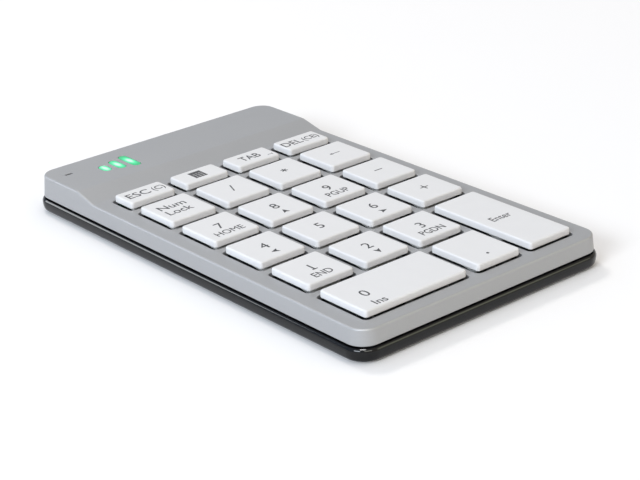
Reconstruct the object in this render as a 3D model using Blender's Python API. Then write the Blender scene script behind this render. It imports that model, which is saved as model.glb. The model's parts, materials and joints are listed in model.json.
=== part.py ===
"""Low-profile numeric keypad: a silver top cover, a black bottom cover, scissor-lifted keycaps and its inner parts.

Metres, +Z up. The origin is under the centre of the case, at the surface it stands on. +X runs along the key
rows, +Y to the rear edge with the raised hump.
"""

import math

import bmesh
import bpy
from mathutils import Vector

MM = 0.001

# Case, seen from above. Insets are measured inwards from the widest outline of the bottom cover.
CASE_WIDTH = 86.2 * MM
CASE_LENGTH = 143.3 * MM
CASE_CORNER = 6.0 * MM
CORNER_STEPS = 4

# Heights above the surface that the keypad stands on.
SHELL_BOTTOM = 0.5 * MM
SHELL_FLOOR = 2.0 * MM
SHELL_WIDEST = 3.0 * MM
RIM_TOP = 4.1 * MM
LIP_TOP = 5.0 * MM
COVER_BOTTOM = 4.6 * MM
DECK_TOP = 9.1 * MM
HUMP_TOP = 11.0 * MM

# Top cover.
COVER_INSET = 0.7 * MM
COVER_DRAFT = 0.09
COVER_WALL = 1.6 * MM
COVER_THICKNESS = 1.4 * MM
EDGE_ROUND = 0.45 * MM
RAMP_FOOT = CASE_LENGTH / 2 - 29.1 * MM
RAMP_HEAD = CASE_LENGTH / 2 - 21.3 * MM

# Bottom cover. Its side is a list of inset and height, from the rim down.
LIP_INSET = 2.6 * MM
LIP_WALL = 1.2 * MM
SHELL_SIDE = (
    (0.5 * MM, RIM_TOP),
    (0.13 * MM, 3.6 * MM),
    (0.0, SHELL_WIDEST),
    (0.15 * MM, 1.25 * MM),
    (0.42 * MM, 0.69 * MM),
    (0.95 * MM, SHELL_BOTTOM),
)
RIB_WIDTH = 1.0 * MM
RIB_ROOT = SHELL_FLOOR - 0.3 * MM
RIB_CLEARANCE = 0.3 * MM
RIB_SETBACK = 4.0 * MM

# Key field. A hole is the opening in the deck, a cap is smaller than its hole by KEY_GAP on each side.
KEY_PITCH = 19.0 * MM
HOLE_SIDE = 16.6 * MM
KEY_WEB = KEY_PITCH - HOLE_SIDE
HOLE_CORNER = 1.4 * MM
FRONT_ROW_DEPTH = 18.9 * MM
FUNCTION_ROW_DEPTH = 9.9 * MM
FIELD_FRONT = -CASE_LENGTH / 2 + 5.4 * MM
KEY_GAP = 0.75 * MM

# Keycap.
CAP_TOP = DECK_TOP + 2.0 * MM
CAP_SKIRT_BOTTOM = DECK_TOP + 0.05 * MM
CAP_CORNER = 0.9 * MM
CAP_DRAFT = 0.04 * MM
CAP_THICKNESS = 1.1 * MM
CAP_WALL = 1.0 * MM
CAP_ROUND = 0.45 * MM
CAP_CEILING = CAP_TOP - CAP_THICKNESS
CLIP_HEIGHT = 0.9 * MM
CLIP_INNER = 2.4 * MM
CLIP_OUTER = 4.6 * MM
EMBED = 0.2 * MM

# Plate, membrane and domes.
PLATE_BOTTOM = 5.3 * MM
PLATE_TOP = 5.8 * MM
PLATE_MARGIN = 3.5 * MM
PLATE_CORNER = 2.5 * MM
PLATE_REAR = RAMP_FOOT - 0.6 * MM
MEMBRANE_BOTTOM = 6.1 * MM
MEMBRANE_TOP = 6.45 * MM
TAIL_LEFT = -24.0 * MM
TAIL_RIGHT = -12.0 * MM
TAIL_OVERLAP = 3.0 * MM
DOME_RADIUS = 2.7 * MM
DOME_WAIST = 8.2 * MM
DOME_TOP = CAP_CEILING - 0.4 * MM
HOOK_TOP = 7.5 * MM
HOOK_HALF = 1.4 * MM
HOOK_THICKNESS = 0.4 * MM
HOOK_GAP = 0.25 * MM
STAKE_RADIUS = 0.9 * MM
STAKE_BOTTOM = 4.2 * MM
SLOT_GAP = 0.3 * MM

# Scissor lift.
SCISSOR_LOW = 6.8 * MM
SCISSOR_HIGH = CAP_CEILING - 0.35 * MM
SCISSOR_WIDTH = 11.0 * MM
SCISSOR_DEPTH = 10.4 * MM
SCISSOR_BAR = 1.0 * MM
SCISSOR_THICKNESS = 0.7 * MM
SCISSOR_SIDE_GAP = 0.3 * MM
PIVOT_HALF = 0.25 * MM

# Stabiliser wires of the wide and the tall key.
WIRE_RADIUS = 0.35 * MM
WIRE_REACH = 4.6 * MM
WIRE_RUN = 25.0 * MM
WIRE_TIP = 1.2 * MM
WIRE_FOOT_HEIGHT = 7.0 * MM
WIRE_TIP_HEIGHT = 9.2 * MM
WIRE_OFFSET_ZERO = 6.7 * MM
WIRE_OFFSET_ENTER = 6.0 * MM

# Electronics, in the hump.
BAY_FRONT = RAMP_FOOT + 1.3 * MM
BOARD_LEFT = -38.5 * MM
BOARD_RIGHT = -1.0 * MM
BOARD_REAR = CASE_LENGTH / 2 - LIP_INSET - LIP_WALL - 0.5 * MM
BOARD_BOTTOM = 4.0 * MM
BOARD_TOP = 5.0 * MM
BOARD_RIB_INSET = 2.0 * MM
CELL_LEFT = 3.0 * MM
CELL_RIGHT = 38.0 * MM
CELL_BOTTOM = 2.4 * MM
CELL_TOP = 7.4 * MM
CELL_REAR = BOARD_REAR - 1.0 * MM
CELL_EDGE = 0.8 * MM
CELL_CORNER = 1.5 * MM
FENCE_GAP = 0.4 * MM
REAR_WALL = CASE_LENGTH / 2 - COVER_INSET
SOCKET_X = -12.0 * MM
SOCKET_WIDTH = 8.94 * MM
SOCKET_HEIGHT = 3.26 * MM
SOCKET_DEPTH = 7.35 * MM
SOCKET_SKIN = 0.35 * MM
SOCKET_FOOT = BOARD_TOP + 0.3 * MM
SOCKET_MIDDLE = SOCKET_FOOT + SOCKET_HEIGHT / 2
SOCKET_MOUTH = REAR_WALL - 0.9 * MM
SOCKET_END = 1.0 * MM
TONGUE_HALF_WIDTH = 3.3 * MM
TONGUE_HALF_HEIGHT = 0.35 * MM
TONGUE_SETBACK = 0.8 * MM
SWITCH_X = -28.0 * MM
SWITCH_TRAVEL = 2.4 * MM
SWITCH_HALF = 4.3 * MM
SWITCH_DEPTH = 4.0 * MM
SWITCH_HEIGHT = 2.8 * MM
SWITCH_REAR = REAR_WALL - COVER_WALL - 0.5 * MM
SWITCH_FRONT_WALL = 1.2 * MM
GROOVE_HALF = 1.0 * MM
STEM_HALF_WIDTH = 0.9 * MM
STEM_HALF_HEIGHT = 0.7 * MM
KNOB_HALF = 1.6 * MM
KNOB_HALF_HEIGHT = 1.0 * MM
KNOB_REAR = REAR_WALL + 0.3 * MM
KNOB_THICKNESS = 1.5 * MM
KNOB_GAPS = (-0.7 * MM, 0.0, 0.7 * MM)
KNOB_GAP_HALF = 0.2 * MM
KNOB_GAP_DEPTH = 0.35 * MM

# Lit mark and status indicator, on the hump.
MARK_X = -21.5 * MM
MARK_Y = 59.6 * MM
MARK_BARS = ((-4.3 * MM, 4.6 * MM), (0.0, 7.0 * MM), (4.3 * MM, 9.4 * MM))
MARK_BAR_WIDTH = 2.6 * MM
MARK_GAP = 0.12 * MM
GUIDE_TOP = HUMP_TOP - COVER_THICKNESS - 0.3 * MM
GUIDE_THICKNESS = 0.6 * MM
GUIDE_HALF_X = 7.0 * MM
GUIDE_HALF_Y = 5.4 * MM
MARK_RECESS = 0.02 * MM
LAMP_X = -35.9 * MM
LAMP_Y = 63.2 * MM
LAMP_LENGTH = 2.4 * MM
LAMP_WIDTH = 0.6 * MM
LAMP_RECESS = 0.1 * MM
LAMP_BASE_X = 1.8 * MM
LAMP_BASE_Y = 1.0 * MM

# Chips on the circuit board: left, right, front, rear and height. The last one is the lamp under the lit mark.
CHIPS = (
    (-8.0 * MM, -3.0 * MM, BAY_FRONT + 2.0 * MM, BAY_FRONT + 7.0 * MM, 0.9 * MM),
    (-34.0 * MM, -29.0 * MM, BAY_FRONT + 3.0 * MM, BAY_FRONT + 6.0 * MM, 0.7 * MM),
    (MARK_X - 1.0 * MM, MARK_X + 1.0 * MM, MARK_Y - 1.0 * MM, MARK_Y + 1.0 * MM, 0.8 * MM),
)

# Feet.
FOOT_LENGTH = 62.0 * MM
FOOT_DEPTH = 7.0 * MM
FOOT_INSET = 9.0 * MM
FOOT_HEIGHT = 1.0 * MM
FOOT_RECESS_TOP = 1.3 * MM
FOOT_GAP = 0.3 * MM

# Name, column of its centre, row of its centre, columns and rows that it spans. Row 5 is the half-height row.
KEYS = (
    ("escape", 0, 5, 1, 1),
    ("calculator", 1, 5, 1, 1),
    ("tab", 2, 5, 1, 1),
    ("delete", 3, 5, 1, 1),
    ("num_lock", 0, 4, 1, 1),
    ("divide", 1, 4, 1, 1),
    ("multiply", 2, 4, 1, 1),
    ("backspace", 3, 4, 1, 1),
    ("7", 0, 3, 1, 1),
    ("8", 1, 3, 1, 1),
    ("9", 2, 3, 1, 1),
    ("subtract", 3, 3, 1, 1),
    ("4", 0, 2, 1, 1),
    ("5", 1, 2, 1, 1),
    ("6", 2, 2, 1, 1),
    ("add", 3, 2, 1, 1),
    ("1", 0, 1, 1, 1),
    ("2", 1, 1, 1, 1),
    ("3", 2, 1, 1, 1),
    ("enter", 3, 0, 1, 2),
    ("0", 0, 0, 2, 1),
    ("decimal", 2, 0, 1, 1),
)


def clear_scene():
    for item in list(bpy.data.objects):
        bpy.data.objects.remove(item)


def material(name, color, roughness, metallic=0.0):
    made = bpy.data.materials.new(name)
    made.use_nodes = True
    shader = made.node_tree.nodes["Principled BSDF"]
    shader.inputs["Base Color"].default_value = (*color, 1.0)
    shader.inputs["Roughness"].default_value = roughness
    shader.inputs["Metallic"].default_value = metallic
    return made


def mesh_of(shape, name):
    """A mesh from a bmesh, with its faces turned outwards."""
    bmesh.ops.recalc_face_normals(shape, faces=shape.faces)
    mesh = bpy.data.meshes.new(name)
    shape.to_mesh(mesh)
    shape.free()
    return mesh


def add_loft(shape, loops):
    """Adds a closed solid through loops of points, one after the other, with both ends closed."""
    rings = [[shape.verts.new(point) for point in loop] for loop in loops]
    count = len(rings[0])
    for low, high in zip(rings, rings[1:]):
        for i in range(count):
            j = (i + 1) % count
            shape.faces.new((low[i], low[j], high[j], high[i]))
    shape.faces.new(rings[0])
    shape.faces.new(rings[-1])


def loft(name, loops):
    shape = bmesh.new()
    add_loft(shape, loops)
    return mesh_of(shape, name)


def rounded_rectangle(half_x, half_y, radius, steps, center=(0.0, 0.0)):
    """Points of a rounded rectangle, anticlockwise from the middle of its right side."""
    points = []
    for quarter in range(4):
        sign_x = 1 if quarter in (0, 3) else -1
        sign_y = 1 if quarter in (0, 1) else -1
        for step in range(steps + 1):
            angle = (quarter + step / steps) * math.pi / 2
            x = sign_x * (half_x - radius) + radius * math.cos(angle)
            y = sign_y * (half_y - radius) + radius * math.sin(angle)
            points.append((center[0] + x, center[1] + y))
    return points


def level(points, z):
    return [(x, y, z) for x, y in points]


def block_loops(low, high):
    """The two loops of a box between two corners."""
    corners = ((low[0], low[1]), (high[0], low[1]), (high[0], high[1]), (low[0], high[1]))
    return [level(corners, low[2]), level(corners, high[2])]


def blocks(name, boxes):
    """One mesh of separate boxes, each given by its lowest and highest corner."""
    shape = bmesh.new()
    for low, high in boxes:
        add_loft(shape, block_loops(low, high))
    return mesh_of(shape, name)


def columns(name, centers, radius, bottom, top, sides=10):
    """One mesh of separate upright round columns."""
    shape = bmesh.new()
    for x, y in centers:
        ring = [
            (x + radius * math.cos(math.tau * i / sides), y + radius * math.sin(math.tau * i / sides))
            for i in range(sides)
        ]
        add_loft(shape, [level(ring, bottom), level(ring, top)])
    return mesh_of(shape, name)


def combined(name, base, operations):
    """The base mesh after a chain of Booleans, each given as (operation, mesh)."""
    scene = bpy.context.scene.collection
    host = bpy.data.objects.new(name, base)
    scene.objects.link(host)
    tools = []
    for operation, mesh in operations:
        tool = bpy.data.objects.new(name + "_tool", mesh)
        tool.hide_render = True
        tool.display_type = "WIRE"
        scene.objects.link(tool)
        tools.append(tool)
        modifier = host.modifiers.new(operation.title(), "BOOLEAN")
        modifier.operation = operation
        modifier.object = tool
    graph = bpy.context.evaluated_depsgraph_get()
    result = bpy.data.meshes.new_from_object(host.evaluated_get(graph))
    for item in [host, *tools]:
        bpy.data.objects.remove(item)
    result.name = name
    return result


def place(name, mesh, finish, location=(0.0, 0.0, 0.0)):
    """A named piece in the scene, smooth on its rounds and sharp on its edges."""
    mesh.materials.clear()
    mesh.materials.append(finish)
    mesh.shade_smooth()
    mesh.set_sharp_from_angle(angle=math.radians(35))
    piece = bpy.data.objects.new(name, mesh)
    piece.location = location
    bpy.context.scene.collection.objects.link(piece)
    return piece


# The case outline: points on the widest outline with their outward directions, so that any inset is a short step.


def case_outline():
    half_x, half_y = CASE_WIDTH / 2, CASE_LENGTH / 2
    points = []
    for quarter in range(4):
        sign_x = 1 if quarter in (0, 3) else -1
        sign_y = 1 if quarter in (0, 1) else -1
        for step in range(CORNER_STEPS + 1):
            angle = (quarter + step / CORNER_STEPS) * math.pi / 2
            out = Vector((math.cos(angle), math.sin(angle)))
            middle = Vector((sign_x * (half_x - CASE_CORNER), sign_y * (half_y - CASE_CORNER)))
            points.append((middle + out * CASE_CORNER, out))
        if quarter == 1:
            points += [(Vector((-half_x, y)), Vector((-1, 0))) for y in (RAMP_HEAD, RAMP_FOOT)]
    points += [(Vector((half_x, y)), Vector((1, 0))) for y in (RAMP_FOOT, RAMP_HEAD)]
    return points


def surface_height(y):
    """Height of the top cover's upper surface: flat deck, straight ramp, flat hump."""
    share = (y - RAMP_FOOT) / (RAMP_HEAD - RAMP_FOOT)
    return DECK_TOP + (HUMP_TOP - DECK_TOP) * min(1.0, max(0.0, share))


def case_loop(inset, z):
    return [(*(point - out * inset), z) for point, out in case_outline()]


def surface_loop(depth, extra_inset):
    """A loop that follows the upper surface at a depth below it, on the drafted wall."""
    loop = []
    for point, out in case_outline():
        z = surface_height(point.y) - depth
        inset = COVER_INSET + COVER_DRAFT * (z - COVER_BOTTOM) + extra_inset
        loop.append((*(point - out * inset), z))
    return loop


def add_folded_lid(shape, ring):
    """Closes a loop on the upper surface with a hump face, a ramp face and a deck face."""
    left_head = 2 * (CORNER_STEPS + 1)
    left_foot = left_head + 1
    right_foot = len(ring) - 2
    right_head = len(ring) - 1
    shape.faces.new([ring[right_head], *ring[: left_head + 1]])
    shape.faces.new([ring[left_head], ring[left_foot], ring[right_foot], ring[right_head]])
    shape.faces.new(ring[left_foot : right_foot + 1])


def cover_shell():
    loops = (
        surface_loop(COVER_THICKNESS, COVER_WALL),
        case_loop(COVER_INSET + COVER_WALL, COVER_BOTTOM),
        case_loop(COVER_INSET, COVER_BOTTOM),
        surface_loop(EDGE_ROUND, 0.0),
        surface_loop(0.3 * EDGE_ROUND, 0.3 * EDGE_ROUND),
        surface_loop(0.0, EDGE_ROUND),
    )
    shape = bmesh.new()
    rings = [[shape.verts.new(point) for point in loop] for loop in loops]
    for low, high in zip(rings, rings[1:]):
        for i in range(len(low)):
            j = (i + 1) % len(low)
            shape.faces.new((low[i], low[j], high[j], high[i]))
    add_folded_lid(shape, rings[0])
    add_folded_lid(shape, rings[-1])
    return mesh_of(shape, "cover_shell")


# The key field.


def column_x(column):
    """Middle of a key column. The four columns lie about the middle of the case."""
    return (column - 1.5) * KEY_PITCH


def hole_of(key):
    """Centre and half sides of a key's hole in the deck."""
    _, column, row, columns_wide, rows_deep = key
    x = column_x(column + (columns_wide - 1) / 2)
    half_x = (HOLE_SIDE + (columns_wide - 1) * KEY_PITCH) / 2
    front = FIELD_FRONT
    if row > 0:
        front += FRONT_ROW_DEPTH + KEY_WEB + (row - 1) * KEY_PITCH
    depth = HOLE_SIDE
    if row == 0:
        depth = FRONT_ROW_DEPTH + (rows_deep - 1) * KEY_PITCH
    if row == 5:
        depth = FUNCTION_ROW_DEPTH
    return x, front + depth / 2, half_x, depth / 2


def scissor_depth(half_y):
    """A scissor fits inside its cap with room for the plate's hooks in front and behind."""
    return min(SCISSOR_DEPTH, 2 * (half_y - KEY_GAP - CAP_WALL - 2 * HOOK_GAP - HOOK_THICKNESS))


def stake_centers():
    rear_web = FIELD_FRONT + FRONT_ROW_DEPTH + KEY_WEB / 2
    return [
        (side * KEY_PITCH, rear_web + rows * 2 * KEY_PITCH)
        for side in (-1, 1)
        for rows in range(3)
    ]


def hole_cutters():
    shape = bmesh.new()
    for key in KEYS:
        x, y, half_x, half_y = hole_of(key)
        ring = rounded_rectangle(half_x, half_y, HOLE_CORNER, 2, (x, y))
        add_loft(shape, [level(ring, DECK_TOP - 3 * COVER_THICKNESS), level(ring, DECK_TOP + COVER_THICKNESS)])
    return mesh_of(shape, "hole_cutters")


def mark_bars(gap, bottom, top):
    """The round-ended bars of the lit mark, wider by a gap all round."""
    shape = bmesh.new()
    for x, length in MARK_BARS:
        half = MARK_BAR_WIDTH / 2 + gap
        ring = rounded_rectangle(half, length / 2 + gap, half * 0.999, 3, (MARK_X + x, MARK_Y))
        add_loft(shape, [level(ring, bottom), level(ring, top)])
    return mesh_of(shape, "mark_bars")


def lamp_loops(gap, bottom, top):
    ring = rounded_rectangle(LAMP_LENGTH / 2 + gap, LAMP_WIDTH / 2 + gap, LAMP_WIDTH / 2, 2, (LAMP_X, LAMP_Y))
    return [level(ring, bottom), level(ring, top)]


def upright_ring(half_x, half_z, radius, center_x, center_z, y, steps=3):
    """A rounded rectangle that stands in the XZ plane."""
    return [(x, y, z) for x, z in rounded_rectangle(half_x, half_z, radius, steps, (center_x, center_z))]


def rear_wall_cutters():
    """The socket's and the slide switch's openings in the rear wall."""
    shape = bmesh.new()
    z = SOCKET_MIDDLE
    span = (REAR_WALL - 2 * COVER_WALL, REAR_WALL + COVER_WALL)
    half_x, half_z = SOCKET_WIDTH / 2 + SLOT_GAP, SOCKET_HEIGHT / 2 + SLOT_GAP
    add_loft(shape, [upright_ring(half_x, half_z, half_z * 0.98, SOCKET_X, z, y) for y in span])
    half_x, half_z = KNOB_HALF + SWITCH_TRAVEL / 2 + SLOT_GAP, KNOB_HALF_HEIGHT + SLOT_GAP
    add_loft(shape, [upright_ring(half_x, half_z, SLOT_GAP, SWITCH_X, z, y, 2) for y in span])
    return mesh_of(shape, "rear_wall_cutters")


def make_top_cover(finish):
    stakes = columns("stakes", stake_centers(), STAKE_RADIUS, STAKE_BOTTOM, DECK_TOP - COVER_THICKNESS / 2)
    ceiling = HUMP_TOP - 2 * COVER_THICKNESS
    above = HUMP_TOP + COVER_THICKNESS
    mesh = combined(
        "top_cover",
        cover_shell(),
        (
            ("UNION", stakes),
            ("DIFFERENCE", hole_cutters()),
            ("DIFFERENCE", mark_bars(MARK_GAP, ceiling, above)),
            ("DIFFERENCE", loft("lamp_cutter", lamp_loops(MARK_GAP, ceiling, above))),
            ("DIFFERENCE", rear_wall_cutters()),
        ),
    )
    place("top_cover", mesh, finish)


def foot_center(side):
    return (0.0, side * (CASE_LENGTH / 2 - FOOT_INSET))


def foot_loops(gap, bottom, top, side):
    half_depth = FOOT_DEPTH / 2 + gap
    ring = rounded_rectangle(FOOT_LENGTH / 2 + gap, half_depth, half_depth * 0.98, 4, foot_center(side))
    return [level(ring, bottom), level(ring, top)]


def shell_tray():
    floor_inset = LIP_INSET + LIP_WALL
    return loft(
        "shell_tray",
        (
            case_loop(floor_inset, SHELL_FLOOR),
            case_loop(floor_inset, LIP_TOP),
            case_loop(LIP_INSET, LIP_TOP),
            case_loop(LIP_INSET, RIM_TOP),
            *(case_loop(inset, z) for inset, z in SHELL_SIDE),
        ),
    )


def shell_ribs():
    """Ribs under the plate, a fence round the cell and low walls that carry the circuit board."""
    front, rear = FIELD_FRONT + RIB_SETBACK, RAMP_FOOT - RIB_SETBACK
    top = PLATE_BOTTOM - RIB_CLEARANCE
    boxes = []
    for column in range(4):
        x = column_x(column)
        boxes.append(((x - RIB_WIDTH / 2, front, RIB_ROOT), (x + RIB_WIDTH / 2, rear, top)))
    front, rear = BAY_FRONT + BOARD_RIB_INSET, BOARD_REAR - BOARD_RIB_INSET
    top = BOARD_BOTTOM - RIB_CLEARANCE
    for x in (BOARD_LEFT + RIB_SETBACK - RIB_WIDTH, BOARD_RIGHT - RIB_SETBACK):
        boxes.append(((x, front, RIB_ROOT), (x + RIB_WIDTH, rear, top)))
    fence = CELL_LEFT - FENCE_GAP
    boxes.append(((fence - RIB_WIDTH, BAY_FRONT, RIB_ROOT), (fence, CELL_REAR, LIP_TOP)))
    return blocks("shell_ribs", boxes)


def make_bottom_cover(finish):
    operations = [("UNION", shell_ribs())]
    for side in (-1, 1):
        recess = loft("foot_recess", foot_loops(FOOT_GAP, SHELL_BOTTOM - MM, FOOT_RECESS_TOP, side))
        operations.append(("DIFFERENCE", recess))
    place("bottom_cover", combined("bottom_cover", shell_tray(), operations), finish)


def make_feet(finish):
    for name, side in (("front_foot", -1), ("rear_foot", 1)):
        place(name, loft(name, foot_loops(0.0, 0.0, FOOT_HEIGHT, side)), finish)


# Plate, membrane and scissors.


def hook_boxes(gap, bottom, top):
    """The plate's hooks in front of and behind each scissor, wider by a gap all round."""
    boxes = []
    for key in KEYS:
        x, y, _, half_y = hole_of(key)
        reach = scissor_depth(half_y) / 2 + HOOK_GAP
        for side in (-1, 1):
            near, far = sorted((y + side * (reach - gap), y + side * (reach + HOOK_THICKNESS + gap)))
            boxes.append(((x - HOOK_HALF - gap, near, bottom), (x + HOOK_HALF + gap, far, top)))
    return boxes


def plate_loops(bottom, top):
    half_x = CASE_WIDTH / 2 - PLATE_MARGIN
    front = -CASE_LENGTH / 2 + PLATE_MARGIN
    half_y = (PLATE_REAR - front) / 2
    ring = rounded_rectangle(half_x, half_y, PLATE_CORNER, 2, (0.0, front + half_y))
    return [level(ring, bottom), level(ring, top)]


def make_support_plate(finish):
    holes = columns("stake_holes", stake_centers(), STAKE_RADIUS + SLOT_GAP, PLATE_BOTTOM - MM, PLATE_TOP + MM)
    hooks = blocks("hooks", hook_boxes(0.0, (PLATE_BOTTOM + PLATE_TOP) / 2, HOOK_TOP))
    base = loft("plate_sheet", plate_loops(PLATE_BOTTOM, PLATE_TOP))
    place("support_plate", combined("support_plate", base, (("UNION", hooks), ("DIFFERENCE", holes))), finish)


def dome_mesh():
    """A rubber dome for each key: a cone that carries a narrow plunger."""
    shape = bmesh.new()
    for key in KEYS:
        x, y, _, half_y = hole_of(key)
        wide = min(DOME_RADIUS, scissor_depth(half_y) / 2 - SCISSOR_BAR - HOOK_GAP)
        loops = []
        for radius, z in ((wide, MEMBRANE_TOP - EMBED / 2), (0.62 * wide, DOME_WAIST), (0.5 * wide, DOME_TOP)):
            loops.append(
                [
                    (x + radius * math.cos(math.tau * i / 8), y + radius * math.sin(math.tau * i / 8), z)
                    for i in range(8)
                ]
            )
        add_loft(shape, loops)
    return mesh_of(shape, "domes")


def make_membrane(finish):
    """The switch sheet with its bonded rubber domes, slots for the hooks, and a tail to the circuit board."""
    tail = ((TAIL_LEFT, PLATE_REAR - MM, MEMBRANE_BOTTOM), (TAIL_RIGHT, BAY_FRONT + TAIL_OVERLAP, MEMBRANE_TOP))
    holes = columns("stake_holes", stake_centers(), STAKE_RADIUS + SLOT_GAP, MEMBRANE_BOTTOM - MM, MEMBRANE_TOP + MM)
    slots = blocks("hook_slots", hook_boxes(SLOT_GAP / 2, MEMBRANE_BOTTOM - MM, MEMBRANE_TOP + MM))
    base = loft("membrane_sheet", plate_loops(MEMBRANE_BOTTOM, MEMBRANE_TOP))
    operations = (
        ("UNION", blocks("tail", [tail])),
        ("DIFFERENCE", slots),
        ("DIFFERENCE", holes),
        ("UNION", dome_mesh()),
    )
    place("switch_membrane", combined("switch_membrane", base, operations), finish)


def tilted_frame(half_x, half_y, slope_sign):
    """A rectangular frame whose front and rear bars lie at different heights."""
    middle = (SCISSOR_LOW + SCISSOR_HIGH) / 2
    rise = (SCISSOR_HIGH - SCISSOR_LOW - SCISSOR_THICKNESS) / 2

    def ring(inset, lift):
        corners = ((1, 1), (-1, 1), (-1, -1), (1, -1))
        return [
            (
                side_x * (half_x - inset),
                side_y * (half_y - inset),
                middle + slope_sign * rise * side_y * (half_y - inset) / half_y + lift,
            )
            for side_x, side_y in corners
        ]

    half = SCISSOR_THICKNESS / 2
    loops = [ring(0.0, -half), ring(0.0, half), ring(SCISSOR_BAR, half), ring(SCISSOR_BAR, -half)]
    shape = bmesh.new()
    rings = [[shape.verts.new(point) for point in loop] for loop in loops]
    for low, high in zip(rings, rings[1:] + rings[:1]):
        for i in range(4):
            j = (i + 1) % 4
            shape.faces.new((low[i], low[j], high[j], high[i]))
    return mesh_of(shape, "scissor_frame")


def scissor_mesh(depth):
    """The outer and the inner frame, joined by the pivot pins on which they cross."""
    outer_half = SCISSOR_WIDTH / 2
    inner_half = outer_half - SCISSOR_BAR - SCISSOR_SIDE_GAP
    middle = (SCISSOR_LOW + SCISSOR_HIGH) / 2
    boxes = []
    for side in (-1, 1):
        near, far = sorted((side * (inner_half - SCISSOR_BAR / 2), side * (outer_half - SCISSOR_BAR / 2)))
        boxes.append(((near, -PIVOT_HALF, middle - PIVOT_HALF), (far, PIVOT_HALF, middle + PIVOT_HALF)))
    inner = tilted_frame(inner_half, depth / 2, -1)
    return combined(
        "scissor",
        tilted_frame(outer_half, depth / 2, 1),
        (("UNION", blocks("pivot_pins", boxes)), ("UNION", inner)),
    )


def cap_mesh(half_x, half_y):
    """A hollow keycap with rounded top edges, and clips under its top for the scissor."""
    wide_x, wide_y = half_x - KEY_GAP, half_y - KEY_GAP

    def ring(inset, z):
        radius = max(CAP_CORNER / 3, CAP_CORNER - inset)
        return level(rounded_rectangle(wide_x - inset, wide_y - inset, radius, 2), z)

    shell = loft(
        "cap_shell",
        (
            ring(CAP_WALL, CAP_CEILING),
            ring(CAP_WALL, CAP_SKIRT_BOTTOM),
            ring(0.0, CAP_SKIRT_BOTTOM),
            ring(CAP_DRAFT, CAP_TOP - CAP_ROUND),
            ring(0.3 * CAP_ROUND, CAP_TOP - 0.3 * CAP_ROUND),
            ring(CAP_ROUND, CAP_TOP),
        ),
    )
    reach = scissor_depth(half_y) / 2 + HOOK_GAP
    boxes = []
    for side in (-1, 1):
        near, far = sorted((side * reach, side * (reach + HOOK_THICKNESS)))
        left, right = sorted((side * CLIP_INNER, side * CLIP_OUTER))
        boxes.append(((left, near, CAP_CEILING - CLIP_HEIGHT), (right, far, CAP_CEILING + EMBED)))
    return combined("keycap", shell, (("UNION", blocks("clips", boxes)),))


def make_keys(cap_finish, scissor_finish):
    """One cap and one scissor for each key. Keys of one size share their meshes."""
    caps, scissors = {}, {}
    for key in KEYS:
        x, y, half_x, half_y = hole_of(key)
        size = (round(half_x, 6), round(half_y, 6))
        depth = round(scissor_depth(half_y), 6)
        if size not in caps:
            caps[size] = cap_mesh(half_x, half_y)
        if depth not in scissors:
            scissors[depth] = scissor_mesh(depth)
        place("key_" + key[0], caps[size], cap_finish, (x, y, 0.0))
        place("scissor_" + key[0], scissors[depth], scissor_finish, (x, y, 0.0))


def make_stabiliser(name, key_name, along_x, offset, finish):
    """A bent wire: a long run beside the scissor, and two arms whose tips reach up into the cap."""
    key = next(item for item in KEYS if item[0] == key_name)
    x, y, _, _ = hole_of(key)
    half = WIRE_RUN / 2
    rise = WIRE_TIP_HEIGHT - WIRE_FOOT_HEIGHT
    route = (
        (-half + WIRE_TIP, WIRE_REACH, rise),
        (-half, WIRE_REACH, rise),
        (-half, 0.0, 0.0),
        (half, 0.0, 0.0),
        (half, WIRE_REACH, rise),
        (half - WIRE_TIP, WIRE_REACH, rise),
    )
    curve = bpy.data.curves.new(name, "CURVE")
    curve.dimensions = "3D"
    curve.bevel_depth = WIRE_RADIUS
    curve.bevel_resolution = 1
    curve.use_fill_caps = True
    spline = curve.splines.new("POLY")
    spline.points.add(len(route) - 1)
    for point, (run, reach, lift) in zip(spline.points, route):
        point.co = (run, reach, lift, 1.0) if along_x else (-reach, run, lift, 1.0)
    curve.materials.append(finish)
    piece = bpy.data.objects.new(name, curve)
    if along_x:
        piece.location = (x, y - offset, WIRE_FOOT_HEIGHT)
    else:
        piece.location = (x + offset, y, WIRE_FOOT_HEIGHT)
    bpy.context.scene.collection.objects.link(piece)


# Electronics.


def make_circuit_board(board_finish):
    base = loft(
        "board_sheet",
        block_loops((BOARD_LEFT, BAY_FRONT, BOARD_BOTTOM), (BOARD_RIGHT, BOARD_REAR, BOARD_TOP)),
    )
    chips = blocks(
        "chips",
        [
            ((left, front, BOARD_TOP - EMBED), (right, rear, BOARD_TOP + height))
            for left, right, front, rear, height in CHIPS
        ],
    )
    place("circuit_board", combined("circuit_board", base, (("UNION", chips),)), board_finish)


def make_battery(finish):
    middle = ((CELL_LEFT + CELL_RIGHT) / 2, (BAY_FRONT + CELL_REAR) / 2)
    half_x = (CELL_RIGHT - CELL_LEFT) / 2
    half_y = (CELL_REAR - BAY_FRONT) / 2
    loops = []
    for inset, z in (
        (CELL_EDGE, CELL_BOTTOM),
        (0.0, CELL_BOTTOM + CELL_EDGE),
        (0.0, CELL_TOP - CELL_EDGE),
        (CELL_EDGE, CELL_TOP),
    ):
        loops.append(level(rounded_rectangle(half_x - inset, half_y - inset, CELL_CORNER, 2, middle), z))
    place("battery", loft("battery", loops), finish)


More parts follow.
